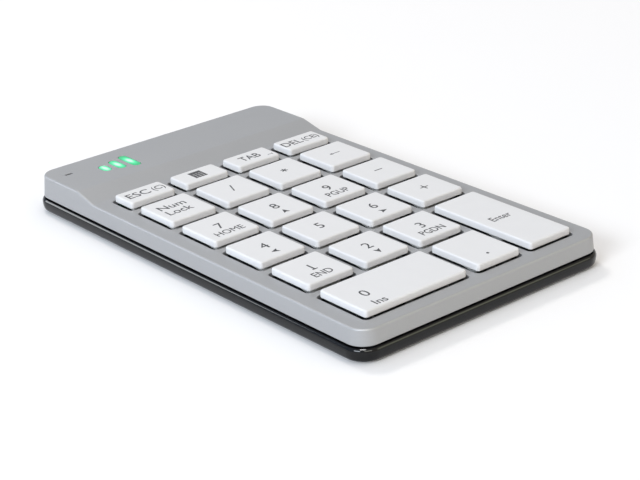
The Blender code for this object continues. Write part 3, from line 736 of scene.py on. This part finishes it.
def add_stakes(shape):
    """Round stakes under the deck. Returns their rings on the ceiling."""
    roots = []
    bottom = box_of("top_cover")[0].z
    for center in stake_centers():
        points = circle(center, STAKE_RADIUS, STAKE_SIDES)
        narrow = circle(center, STAKE_RADIUS - STAKE_EDGE, STAKE_SIDES)
        rings = [
            add_ring(shape, level(points, DECK_TOP - COVER_THICKNESS)),
            add_ring(shape, level(points, bottom + STAKE_EDGE)),
            add_ring(shape, level(narrow, bottom)),
        ]
        bridge(shape, rings)
        shape.faces.new(rings[-1])
        roots.append(rings[0])
    return roots


def rear_openings():
    """Cutters for the socket's and the slide switch's openings in the rear wall."""
    socket_low, socket_high = box_of("usb_socket")
    middle = (socket_low + socket_high) / 2
    half = (socket_high - socket_low) / 2
    wall = CASE_HALF.y - COVER_INSET
    span = (wall - WALL_CUT_INSIDE, wall + WALL_CUT_OUTSIDE)
    high = half.z + OPENING_GAP
    socket = rounded(half.x + OPENING_GAP, high, high - OPENING_FLAT, 10, (middle.x, middle.z))
    knob_low, knob_high = box_of("power_switch")
    travel = travel_of("power_switch_slide")
    wide = (knob_high.x - knob_low.x + travel) / 2 + OPENING_GAP
    knob_middle = ((knob_low.x + knob_high.x + travel) / 2, middle.z)
    knob = rounded(wide, KNOB_OPENING_HALF, KNOB_OPENING_CORNER, 5, knob_middle)
    shape = bmesh.new()
    add_loft(shape, [upright(socket, y) for y in span])
    add_loft(shape, [upright(knob, y) for y in span])
    return mesh_of(shape, "rear_openings")


def make_top_cover():
    """The silver cover: drafted walls, rounded upper edge, folded surface, openings and stakes."""
    shape = bmesh.new()
    outer = [case_loop(COVER_INSET + COVER_EDGE, COVER_BOTTOM)]
    outer += [case_loop(COVER_INSET, COVER_BOTTOM + COVER_EDGE)]
    outer += [surface_loop(down, EDGE_ROUND - out) for out, down in reversed(quarter_round(EDGE_ROUND, 7))]
    inner = [surface_loop(COVER_THICKNESS, COVER_WALL), case_loop(COVER_INSET + COVER_WALL, COVER_BOTTOM)]
    rings = [add_ring(shape, loop) for loop in inner + outer]
    bridge(shape, rings)
    upper, lower = cover_holes(shape)
    fill(shape, rings[-1], upper, ramp_folds())
    fill(shape, rings[0], lower + add_stakes(shape), ramp_folds())
    mesh = combined("silver_cover", mesh_of(shape, "silver_cover"), [("DIFFERENCE", rear_openings())])
    add_piece("silver_cover", mesh, SILVER, "case", ["top_cover"], sharp=32)


# The bottom cover and its feet.


FEET = ("front_foot", "rear_foot")


def foot_loop(foot, grow, z):
    """A foot's outline, wider by a margin all round, at a height."""
    low, high = box_of(foot)
    half = (high - low) / 2
    points = rounded(half.x + grow, half.y + grow, half.y + grow, 12, (low.x + half.x, low.y + half.y))
    return level(points, z)


def tray_profile():
    """The tray's section as (inset, height): up inside its lip, down its side and under its edge."""
    floor_inset = LIP_INSET + LIP_WALL
    side = curve((SHELL_RIM_INSET, RIM_TOP), SHOULDER_KNEE, (0.0, SHELL_WIDEST), 6)
    side += curve((0.0, SHELL_WIDEST), BELLY_KNEE, SHELL_TURN, 3)[1:]
    side += curve(SHELL_TURN, HEEL_KNEE, (SHELL_UNDER_INSET, SHELL_BOTTOM), 6)[1:]
    return [
        (floor_inset + FLOOR_FILLET, SHELL_FLOOR),
        (floor_inset, SHELL_FLOOR + FLOOR_FILLET),
        (floor_inset, LIP_TOP),
        (LIP_INSET + LIP_EDGE, LIP_TOP),
        (LIP_INSET, LIP_TOP - LIP_EDGE),
        (LIP_INSET, RIM_TOP),
        (SHELL_RIM_INSET + RIM_EDGE, RIM_TOP),
        *side,
    ]


def tray_ribs():
    """Ribs under the plate, low walls that carry the circuit board and a fence beside the cell."""
    ribs = []
    front, rear = FIELD_FRONT + RIB_SETBACK, RAMP_FOOT - RIB_SETBACK
    top = box_of("support_plate")[0].z - RIB_CLEARANCE
    for key in ("1", "2", "3", "enter"):
        x = hole_size(key)[0][0]
        ribs.append(((x - RIB_WIDTH / 2, front, RIB_ROOT), (x + RIB_WIDTH / 2, rear, top)))
    low, high = box_of("circuit_board")
    front, rear = low.y + BOARD_RIB_INSET, high.y - BOARD_RIB_INSET
    for x in (low.x + RIB_SETBACK - RIB_WIDTH, high.x - RIB_SETBACK):
        ribs.append(((x, front, RIB_ROOT), (x + RIB_WIDTH, rear, low.z - RIB_CLEARANCE)))
    cell_low, cell_high = box_of("battery")
    fence = cell_low.x - FENCE_GAP
    ribs.append(((fence - RIB_WIDTH, low.y, RIB_ROOT), (fence, cell_high.y, LIP_TOP)))
    return boxes("ribs", ribs)


def make_bottom_cover():
    """The black tray: a rounded shoulder under the seam, a side, the lip, ribs and foot recesses."""
    operations = [("UNION", tray_ribs())]
    for foot in FEET:
        loops = [foot_loop(foot, FOOT_GAP, z) for z in (SHELL_BOTTOM - CUT_PAST, FOOT_RECESS_TOP)]
        operations.append(("DIFFERENCE", loft("recess", loops)))
    tray = loft("black_tray", [case_loop(inset, z) for inset, z in tray_profile()])
    mesh = combined("black_tray", tray, operations)
    add_piece("black_tray", mesh, BLACK, "case", ["bottom_cover"], sharp=30)


def make_feet():
    """Two rubber strips with a rounded lower edge."""
    for foot in FEET:
        low, high = box_of(foot)
        loops = [foot_loop(foot, 0.0, high.z), foot_loop(foot, 0.0, low.z + FOOT_ROUND)]
        for out, down in quarter_round(FOOT_ROUND, 4)[-2::-1]:
            loops.append(foot_loop(foot, out - FOOT_ROUND, low.z + down))
        add_piece(foot + "_rubber", loft(foot, loops), RUBBER, "case", [foot])


# Keycaps, legends, scissors and domes.


def cap_mesh(half_x, half_y, clip_reach):
    """A hollow keycap about its own middle: rounded upper edges, and clips for the scissor."""

    def ring(inset, z):
        radius = max(CAP_CORNER / 3, CAP_CORNER - inset)
        return level(rounded(half_x - inset, half_y - inset, radius, 8), z)

    loops = [
        ring(CAP_WALL + CAP_FILLET, CAP_CEILING),
        ring(CAP_WALL, CAP_CEILING - CAP_FILLET),
        ring(CAP_WALL, CAP_SKIRT_BOTTOM),
        ring(CAP_EDGE, CAP_SKIRT_BOTTOM),
        ring(0.0, CAP_SKIRT_BOTTOM + CAP_EDGE),
    ]
    for out, down in reversed(quarter_round(CAP_ROUND, 7)):
        loops.append(ring(CAP_LEAN + CAP_ROUND - out, CAP_FACE - down))
    clips = []
    for side in (-1, 1):
        near, far = sorted((side * clip_reach, side * (clip_reach + CLIP_THICKNESS)))
        left, right = sorted((side * CLIP_INNER, side * CLIP_OUTER))
        clips.append(((left, near, CAP_CEILING - CLIP_HEIGHT), (right, far, CAP_CEILING + EMBED)))
    return combined("keycap", loft("keycap", loops), [("UNION", boxes("clips", clips))])


def frame_loops(half_x, half_y, slope_sign, low, high):
    """Loops round a scissor frame's bar, whose front and rear lie at different heights."""
    middle = (low + high) / 2
    rise = (high - low - SCISSOR_THICKNESS) / 2
    half = SCISSOR_THICKNESS / 2
    edge = SCISSOR_EDGE

    def loop(inset, lift):
        radius = SCISSOR_CORNER + (SCISSOR_INNER_CORNER - SCISSOR_CORNER) * inset / SCISSOR_BAR
        points = rounded(half_x - inset, half_y - inset, radius, 4)
        return [(x, y, middle + slope_sign * rise * y / half_y + lift) for x, y in points]

    return [
        loop(0.0, edge - half),
        loop(0.0, half - edge),
        loop(edge, half),
        loop(SCISSOR_BAR - edge, half),
        loop(SCISSOR_BAR, half - edge),
        loop(SCISSOR_BAR, edge - half),
        loop(SCISSOR_BAR - edge, -half),
        loop(edge, -half),
    ]


def scissor_mesh(half_x, half_y, low, high):
    """The outer and the inner frame, joined by the pivots on which they cross."""
    inner_x = half_x - SCISSOR_BAR - SCISSOR_SIDE_GAP
    outer, inner = bmesh.new(), bmesh.new()
    add_tube(outer, frame_loops(half_x, half_y, 1, low, high))
    add_tube(inner, frame_loops(inner_x, half_y - SCISSOR_STAGGER, -1, low, high))
    pivots = bmesh.new()
    points = circle((0.0, (low + high) / 2), PIVOT_RADIUS, PIVOT_SIDES)
    for side in (-1, 1):
        span = (side * (inner_x - SCISSOR_BAR / 2), side * (half_x - SCISSOR_BAR / 2))
        add_loft(pivots, [[(x, y, z) for y, z in points] for x in span])
    operations = [("UNION", mesh_of(pivots, "pivots")), ("UNION", mesh_of(inner, "inner"))]
    return combined("scissor", mesh_of(outer, "outer"), operations)


def dome_mesh(radius):
    """A rubber dome about its own axis: a foot, a thin cone and the plunger that the cap presses."""
    height = DOME_TOP - MEMBRANE_TOP
    profile = (
        (radius, 0.02),
        (radius, 0.2),
        (0.93 * radius, 0.3),
        (0.66 * radius, 0.52 * height),
        (0.56 * radius, 0.62 * height),
        (0.52 * radius, 0.68 * height),
        (0.5 * radius, height - 0.15),
        (0.42 * radius, height),
    )
    loops = [level(circle((0.0, 0.0), wide, DOME_SIDES), MEMBRANE_TOP + z) for wide, z in profile]
    return loft("dome", loops)


def make_keys():
    """For each key a cap that moves, and a scissor and a dome that stay at rest with the case."""
    caps, lifts, domes = {}, {}, {}
    for key in KEY_NAMES:
        center, half_x, half_y = hole_size(key)
        low, high = box_of("scissor_" + key)
        depth = (high.y - low.y) / 2
        size = (round(half_x, 2), round(half_y, 2))
        if size not in caps:
            caps[size] = cap_mesh(half_x - KEY_GAP, half_y - KEY_GAP, depth + HOOK_GAP)
        lift = round(depth, 2)
        if lift not in lifts:
            lifts[lift] = scissor_mesh((high.x - low.x) / 2, depth, low.z, high.z)
            domes[lift] = dome_mesh(min(DOME_RADIUS, depth - SCISSOR_BAR - DOME_SIDE_GAP))
        body, joint = f"key_{key}_cap", f"key_{key}_press"
        place = (*center, 0.0)
        add_piece("keycap_" + key, caps[size], WHITE, body, ["key_" + key], place, sharp=40)
        replaced = ["scissor_" + key]
        scissor = add_piece("lift_" + key, lifts[lift], NATURAL, "case", replaced, place)
        # The dome is black too, as painted shade under the gap round the key.
        dome = add_piece("dome_" + key, domes[lift], PAINTED_SHADE_SHEET, "case", (), place, sharp=50)
        for piece, anchor, top in ((scissor, low.z, high.z), (dome, MEMBRANE_TOP, DOME_TOP)):
            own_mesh(piece)


def add_text(shape, text, height, width, middle, weight=0.0):
    """Adds printed letters, closed and thin, of a capital height and, if given, a width in all."""
    words = bpy.data.curves.new("text", "FONT")
    words.body = text
    words.size = height / FONT_CAPITAL
    words.extrude = 0.5  # any depth: the letters are set between the ink's heights below
    if "M" not in text:  # the font's capital M fills in when it is widened
        words.offset = weight * words.size
    words.resolution_u = 3
    holder = add_object("text", words)
    graph = bpy.context.evaluated_depsgraph_get()
    mesh = bpy.data.meshes.new_from_object(holder.evaluated_get(graph))
    bpy.data.objects.remove(holder)
    letters = bmesh.new()
    letters.from_mesh(mesh)
    bmesh.ops.remove_doubles(letters, verts=letters.verts, dist=1e-4)
    left = min(corner.co.x for corner in letters.verts)
    right = max(corner.co.x for corner in letters.verts)
    squeeze = width / (right - left) if width else 1.0
    for corner in letters.verts:
        x = middle[0] + (corner.co.x - (left + right) / 2) * squeeze
        y = middle[1] + corner.co.y - height / 2
        corner.co = (x, y, INK_TOP if corner.co.z > 0 else INK_BOTTOM)
    letters.to_mesh(mesh)
    letters.free()
    shape.from_mesh(mesh)


def add_print(shape, outline, middle):
    """Adds a printed polygon, closed and thin."""
    points = [(middle[0] + x, middle[1] + y) for x, y in outline]
    add_loft(shape, [level(points, INK_BOTTOM), level(points, INK_TOP)])


def add_line(shape, start, end, middle, width=INK_LINE):
    """Adds a printed straight line between two points round a middle."""
    start, end = Vector(start), Vector(end)
    side = (end - start).orthogonal().normalized() * width / 2
    add_print(shape, (start - side, end - side, end + side, start + side), middle)


def add_arrowhead(shape, angle, middle):
    """Adds a notched arrowhead that points along an angle in degrees."""
    dart = ((1.15, 0.0), (-1.15, 1.0), (-0.65, 0.0), (-1.15, -1.0))
    turn = Matrix.Rotation(math.radians(angle), 2)
    add_print(shape, [turn @ Vector(point) for point in dart], middle)


def add_calculator(shape, middle):
    """Adds a small calculator sign: a display over a block of buttons."""
    add_print(shape, rounded(2.05, 0.5, 0.12, 2), (middle[0], middle[1] + 1.75))
    for row in range(4):
        for column in range(4):
            place = (middle[0] + (column - 1.5) * 1.06, middle[1] + 0.78 - row * 0.88)
            add_print(shape, rounded(0.46, 0.38, 0.08, 1), place)


# Under a digit: a word and its width, or the angle of an arrowhead in degrees.
DIGIT_WORDS = {"7": ("HOME", 9.1), "9": ("PGUP", 7.6), "1": ("END", 6.1), "3": ("PGDN", 8.1)}
DIGIT_ARROWS = {"8": 90, "4": 180, "6": 0, "2": 270}

# The other keys' words: text, capital height, width, and its middle from the key's middle.
WORD_KEYS = {
    "escape": (("ESC", LABEL_HEIGHT, 7.4, (-2.3, 0.0)), ("(C)", LABEL_HEIGHT * 0.8, 3.9, (4.5, 0.1))),
    "tab": (("TAB", LABEL_HEIGHT, 6.9, (-0.5, 0.0)),),
    "delete": (("DEL", LABEL_HEIGHT, 6.9, (-3.4, 0.0)), ("(CE)", LABEL_HEIGHT * 0.8, 5.6, (3.5, 0.1))),
    "num_lock": (("Num", 2.9, 8.6, (-0.8, 2.05)), ("Lock", 2.9, 8.1, (-1.05, -2.1))),
    "0": (("0", DIGIT_HEIGHT, None, (-10.4, -0.75)), ("Ins", WORD_HEIGHT, 3.9, (-10.4, -6.4))),
    "enter": (("Enter", WORD_HEIGHT, 6.9, (-0.5, -0.2)),),
}


def add_signs(shape, key, center):
    """Adds the drawn signs of the arithmetic keys."""
    x, y = center
    if key == "divide":
        add_line(shape, (-0.75, -2.0), (0.75, 2.0), (x, y + 0.2))
    if key == "multiply":
        for angle in (30, 90, 150):
            reach = Vector((math.cos(math.radians(angle)), math.sin(math.radians(angle)))) * 1.1
            add_line(shape, -reach, reach, (x - 0.1, y + 0.2), INK_LINE * 0.9)
    if key in ("subtract", "add"):
        add_line(shape, (-1.4, 0.0), (1.4, 0.0), (x, y + 0.15))
    if key == "add":
        add_line(shape, (0.0, -1.4), (0.0, 1.4), (x, y + 0.15))
    if key == "backspace":
        add_line(shape, (-1.5, 0.0), (1.9, 0.0), (x, y + 0.15), INK_LINE * 0.8)
        add_print(shape, ((-1.9, 0.0), (-0.9, -0.55), (-0.9, 0.55)), (x, y + 0.15))
    if key == "calculator":
        add_calculator(shape, (x - 0.45, y))
    if key == "decimal":
        add_print(shape, circle((0.0, 0.0), 0.42, 12), (x - 0.5, y - 5.0))
    if key == "tab":
        add_line(shape, (-0.8, 0.0), (0.8, 0.0), (x + 5.3, y - 2.3), 0.16)
        add_line(shape, (0.8, -0.45), (0.8, 0.45), (x + 5.3, y - 2.3), 0.16)


def add_digit(shape, key, center):
    """Adds a digit, and what stands under it."""
    middle = (center[0] + DIGIT_SHIFT, center[1] + DIGIT_RISE)
    below = (center[0] + DIGIT_SHIFT, center[1] + WORD_DROP)
    add_text(shape, key, DIGIT_HEIGHT, None, middle)
    if key == "1":  # the font's 1 has no foot
        add_line(shape, (-0.75, 0.2), (0.95, 0.2), (middle[0], middle[1] - DIGIT_HEIGHT / 2))
    if key in DIGIT_WORDS:
        word, width = DIGIT_WORDS[key]
        add_text(shape, word, WORD_HEIGHT, width, below, WORD_WEIGHT)
    if key in DIGIT_ARROWS:
        add_arrowhead(shape, DIGIT_ARROWS[key], below)


def make_legends():
    """The printed legends, one piece for each key, on the key's upper face."""
    for key in KEY_NAMES:
        center = hole_size(key)[0]
        shape = bmesh.new()
        if key.isdigit() and key not in WORD_KEYS:
            add_digit(shape, key, center)
        for text, height, width, offset in WORD_KEYS.get(key, ()):
            middle = (center[0] + offset[0], center[1] + offset[1])
            add_text(shape, text, height, width, middle, WORD_WEIGHT if width else 0.0)
        add_signs(shape, key, center)
        add_piece("legend_" + key, mesh_of(shape, "legend"), INK, f"key_{key}_cap")


# Under the keys, and the electronics.


def make_membrane():
    """The switch sheet with its slots, holes and tail, black as painted shade for the gaps round the keys.
    The domes are pieces of their own.
    """
    low, high = box_of("switch_membrane")
    plate_low, plate_high = box_of("support_plate")
    half = (plate_high - plate_low) / 2
    points = rounded(half.x, half.y, PLATE_CORNER, 6, (0.0, plate_low.y + half.y))
    sheet = loft("sheet", [level(points, low.z), level(points, MEMBRANE_TOP)])
    tail = ((TAIL_LEFT, plate_high.y - TAIL_OVERLAP, low.z), (TAIL_RIGHT, high.y, MEMBRANE_TOP))
    under, over = low.z - CUT_PAST, MEMBRANE_TOP + CUT_PAST
    holes = bmesh.new()
    for center in stake_centers():
        points = circle(center, STAKE_RADIUS + SLOT_GAP, STAKE_SIDES)
        add_loft(holes, [level(points, under), level(points, over)])
    slots = []
    gap = SLOT_GAP / 2
    wide = HOOK_HALF + gap
    for key in KEY_NAMES:
        (x, y), _, _ = hole_size(key)
        scissor_low, scissor_high = box_of("scissor_" + key)
        reach = (scissor_high.y - scissor_low.y) / 2 + HOOK_GAP
        for side in (-1, 1):
            near, far = sorted((y + side * (reach - gap), y + side * (reach + HOOK_THICKNESS + gap)))
            slots.append(((x - wide, near, under), (x + wide, far, over)))
    operations = [("UNION", boxes("tail", [tail])), ("DIFFERENCE", mesh_of(holes, "holes"))]
    operations.append(("DIFFERENCE", boxes("slots", slots)))
    mesh = combined("membrane_sheet", sheet, operations)
    add_piece("membrane_sheet", mesh, PAINTED_SHADE_SHEET, "case", ["switch_membrane"])


def make_usb_socket():
    """The socket's drawn shell, its tongue and the tongue's contacts."""
    low, high = box_of("usb_socket")
    middle, half = (low + high) / 2, (high - low) / 2

    def ring(inset, y):
        points = rounded(half.x - inset, half.z - inset, half.z - inset, 12, (middle.x, middle.z))
        return upright(points, y)

    floor, edge = low.y + SOCKET_FLOOR, SOCKET_EDGE
    inner = [(SOCKET_WALL, floor), (SOCKET_WALL, high.y - edge), (SOCKET_WALL - SOCKET_FLARE, high.y)]
    outer = [(edge, high.y), (0.0, high.y - edge), (0.0, low.y + edge), (edge, low.y)]
    shell = loft("usb_shell", [ring(inset, y) for inset, y in inner + outer])
    add_piece("usb_shell", shell, NICKEL, "case", ["usb_socket"])
    loops = []
    ends = [(inset, high.y - setback) for inset, setback in TONGUE_ENDS]
    for inset, y in [(0.0, floor + TONGUE_GAP), *ends]:
        wide, thick = TONGUE_HALF_WIDTH - inset, TONGUE_HALF_THICKNESS - inset / 2
        loops.append(upright(rounded(wide, thick, TONGUE_CORNER, 3, (middle.x, middle.z)), y))
    add_piece("usb_tongue", loft("usb_tongue", loops), DARK, "case")
    front, rear = (high.y + y for y in CONTACT_SPAN)
    pads = []
    for i in range(CONTACTS):
        x = middle.x + (i - (CONTACTS - 1) / 2) * CONTACT_PITCH
        for side in (-1, 1):
            near, far = sorted(middle.z + side * z for z in CONTACT_HEIGHTS)
            pads.append(((x - CONTACT_HALF_WIDTH, front, near), (x + CONTACT_HALF_WIDTH, rear, far)))
    add_piece("usb_contacts", boxes("usb_contacts", pads), GOLD, "case")


def make_power_switch():
    """The ridged knob, about its place at rest."""
    low, high = box_of("power_switch")
    middle = (low + high) / 2
    half_stem = Vector((STEM_HALF_WIDTH, 0.0, STEM_HALF_HEIGHT))
    stem_low, stem_high = middle - half_stem, middle + half_stem
    stem_low.y, stem_high.y = low.y, high.y - STEM_SETBACK
    pad = (low.x, high.y - PAD_THICKNESS, low.z)
    grooves = []
    for i in range(GROOVES):
        x = middle.x + (i - (GROOVES - 1) / 2) * GROOVE_PITCH
        start = (x - GROOVE_HALF_WIDTH, high.y - GROOVE_DEPTH, low.z - CUT_PAST)
        grooves.append((start, (x + GROOVE_HALF_WIDTH, high.y + CUT_PAST, high.z + CUT_PAST)))
    operations = [("UNION", boxes("pad", [(pad, high)])), ("DIFFERENCE", boxes("grooves", grooves))]
    mesh = combined("slide_knob", boxes("stem", [(stem_low, stem_high)]), operations)
    mesh = bevelled("slide_knob", mesh, KNOB_ROUND)
    add_piece("slide_knob", mesh, DARK, "power_switch_knob", ["power_switch"])


def make_light_guides():
    """The lit mark's bars and the lamp's lens, each with the clear base that joins them below the hump."""
    low, high = box_of("light_window")
    corners = rounded((high.x - low.x) / 2, (high.y - low.y) / 2, GUIDE_CORNER, 5, MARK)
    guide = loft("mark_guide", [level(corners, low.z), level(corners, GUIDE_TOP)])
    add_piece("mark_guide", guide, LIT, "case", ["light_window"])
    for number, (x, length) in enumerate(MARK_BARS, 1):
        half = MARK_BAR_WIDTH / 2
        loops = [level(rounded(half, length / 2, half, 10), GUIDE_TOP + MARK_SINK)]
        for out, down in reversed(quarter_round(MARK_ROUND, 3)):
            wide, deep = half + out - MARK_ROUND, length / 2 + out - MARK_ROUND
            loops.append(level(rounded(wide, deep, wide, 10), HUMP_TOP - MARK_SINK - down))
        place = (MARK[0] + x, MARK[1], 0.0)
        add_piece(f"mark_bar_{number}", loft("mark_bar", loops), LIT, "case", (), place)
    low, high = box_of("indicator_lens")
    base = rounded((high.x - low.x) / 2, (high.y - low.y) / 2, LENS_CORNER, 4, LAMP)
    nib = rounded(LAMP_SIZE[0] / 2, LAMP_SIZE[1] / 2, LAMP_SIZE[1] / 2, 8, LAMP)
    foot = loft("lamp_base", [level(base, low.z), level(base, GUIDE_TOP)])
    tip = loft("lamp_nib", [level(nib, GUIDE_TOP - EMBED), level(nib, HUMP_TOP - LAMP_SINK)])
    mesh = combined("lamp_lens", foot, [("UNION", tip)])
    add_piece("lamp_lens", mesh, SMOKE, "case", ["indicator_lens"])


def finish_inner_parts():
    """Gives the CAD parts that stay their final materials."""
    finishes = {
        "support_plate": STEEL,
        "stabiliser_zero": STEEL,
        "stabiliser_enter": STEEL,
        "circuit_board": BOARD,
        "battery": FOIL,
        "switch_body": DARK,
    }
    for name, finish in finishes.items():
        part = frame["nodes"][name]
        for slot in part.material_slots:
            slot.material = finish


# Studio: floor, light and camera, in metres.

FLOOR_REACH = 12.0
FLOOR_COLOR = (0.95, 0.93, 0.91)
FLOOR_ROUGHNESS = 0.85
FLOOR_GLOW = 0.02
WORLD_STRENGTH = 0.69
COOL = (0.74, 0.91, 1.18, 1.0)
WARM = (1.16, 1.03, 0.84, 1.0)

# Softboxes: name, direction from the keypad, distance, sides, radiance, colour, and if only sheen sees it.
SOFTBOXES = (
    ("softbox_above", (0.1, 0.6, 0.85), 1.3, (0.26, 0.2), 21.0, (1.0, 0.96, 0.9), False),
    ("softbox_left", (-0.86, -0.27, 0.46), 1.4, (0.62, 0.36), 17.5, (0.84, 0.91, 1.0), False),
    ("sheen_rear_left", (-0.55, 0.82, 0.3), 1.4, (0.45, 0.4), 8.0, (0.97, 0.99, 1.0), True),
    ("sheen_corner", (-0.42, -0.4, 0.82), 1.4, (0.5, 0.2), 26.0, (1.0, 1.0, 1.0), True),
    ("sheen_front", (-0.3, -0.8, 0.5), 1.4, (0.75, 0.28), 8.0, (1.0, 1.0, 0.9), True),
    ("sheen_front_right", (0.55, -0.77, 0.36), 1.4, (0.5, 0.5), 2.6, (0.93, 1.0, 0.74), True),
)

CAMERA_PLACE = (-0.30353, -0.37395, 0.20757)
CAMERA_AIM = (-0.01299, -0.02144, 0.0091)
CAMERA_ROLL = -2.374
CAMERA_LENS = 106.1


def make_floor():
    """A plain pale sheet under the keypad, far wider than any view."""
    mesh = bpy.data.meshes.new("floor")
    corners = [(x * FLOOR_REACH, y * FLOOR_REACH, 0) for x, y in ((-1, -1), (1, -1), (1, 1), (-1, 1))]
    mesh.from_pydata(corners, [], [(0, 1, 2, 3)])
    glow = {"Emission_Color": (1.0, 1.0, 1.0, 1.0), "Emission_Strength": FLOOR_GLOW}
    mesh.materials.append(material("floor_white", FLOOR_COLOR, FLOOR_ROUGHNESS, **glow))
    floor = add_object("floor", mesh)


def add_light(name, direction, distance, sides, radiance, color, sheen_only):
    """A softbox that faces the keypad. Radiance is what a mirror would show of it."""
    lamp = bpy.data.lights.new(name, "AREA")
    lamp.shape = "RECTANGLE"
    lamp.size, lamp.size_y = sides
    lamp.energy = radiance * math.pi * sides[0] * sides[1]
    lamp.color = color
    light = add_object(name, lamp)
    place = Vector(direction).normalized() * distance
    light.location = place
    light.rotation_mode = "QUATERNION"
    light.rotation_quaternion = (-place).to_track_quat("-Z", "Y")
    light.visible_diffuse = not sheen_only


def make_world():
    """An even white room, cooler at the rear left and warmer at the front right."""
    world = bpy.data.worlds.new("studio")
    world.use_nodes = True
    background = world.node_tree.nodes["Background"]
    background.inputs["Strength"].default_value = WORLD_STRENGTH
    place = node(world, "ShaderNodeTexCoord")
    across = node(world, "ShaderNodeVectorMath")
    across.operation = "DOT_PRODUCT"
    across.inputs[1].default_value = (0.7, -0.7, 0.0)
    spread = node(world, "ShaderNodeMapRange", **{"From Min": -1.0})
    ramp = node(world, "ShaderNodeValToRGB")
    ramp.color_ramp.elements[0].color = COOL
    ramp.color_ramp.elements[1].color = WARM
    link(world, place.outputs["Generated"], across.inputs[0])
    link(world, across.outputs["Value"], spread.inputs["Value"])
    link(world, spread.outputs["Result"], ramp.inputs["Fac"])
    link(world, ramp.outputs["Color"], background.inputs["Color"])
    bpy.context.scene.world = world


def make_camera():
    """A long lens from the front left, 23.5 degrees above the keypad."""
    data = bpy.data.cameras.new("camera")
    data.sensor_width = 36.0
    data.lens = CAMERA_LENS
    data.clip_start, data.clip_end = 0.01, 50.0
    camera = add_object("camera", data)
    camera.location = CAMERA_PLACE
    turn = (Vector(CAMERA_AIM) - camera.location).to_track_quat("-Z", "Y")
    camera.rotation_mode = "QUATERNION"
    camera.rotation_quaternion = turn @ Quaternion((0.0, 0.0, 1.0), math.radians(CAMERA_ROLL))
    bpy.context.scene.camera = camera


make_camera()
make_floor()
make_world()
for softbox in SOFTBOXES:
    add_light(*softbox)
bpy.context.scene.view_settings.view_transform = "Standard"
make_top_cover()
make_bottom_cover()
make_feet()
make_keys()
make_legends()
make_membrane()
make_usb_socket()
make_power_switch()
make_light_guides()
finish_inner_parts()
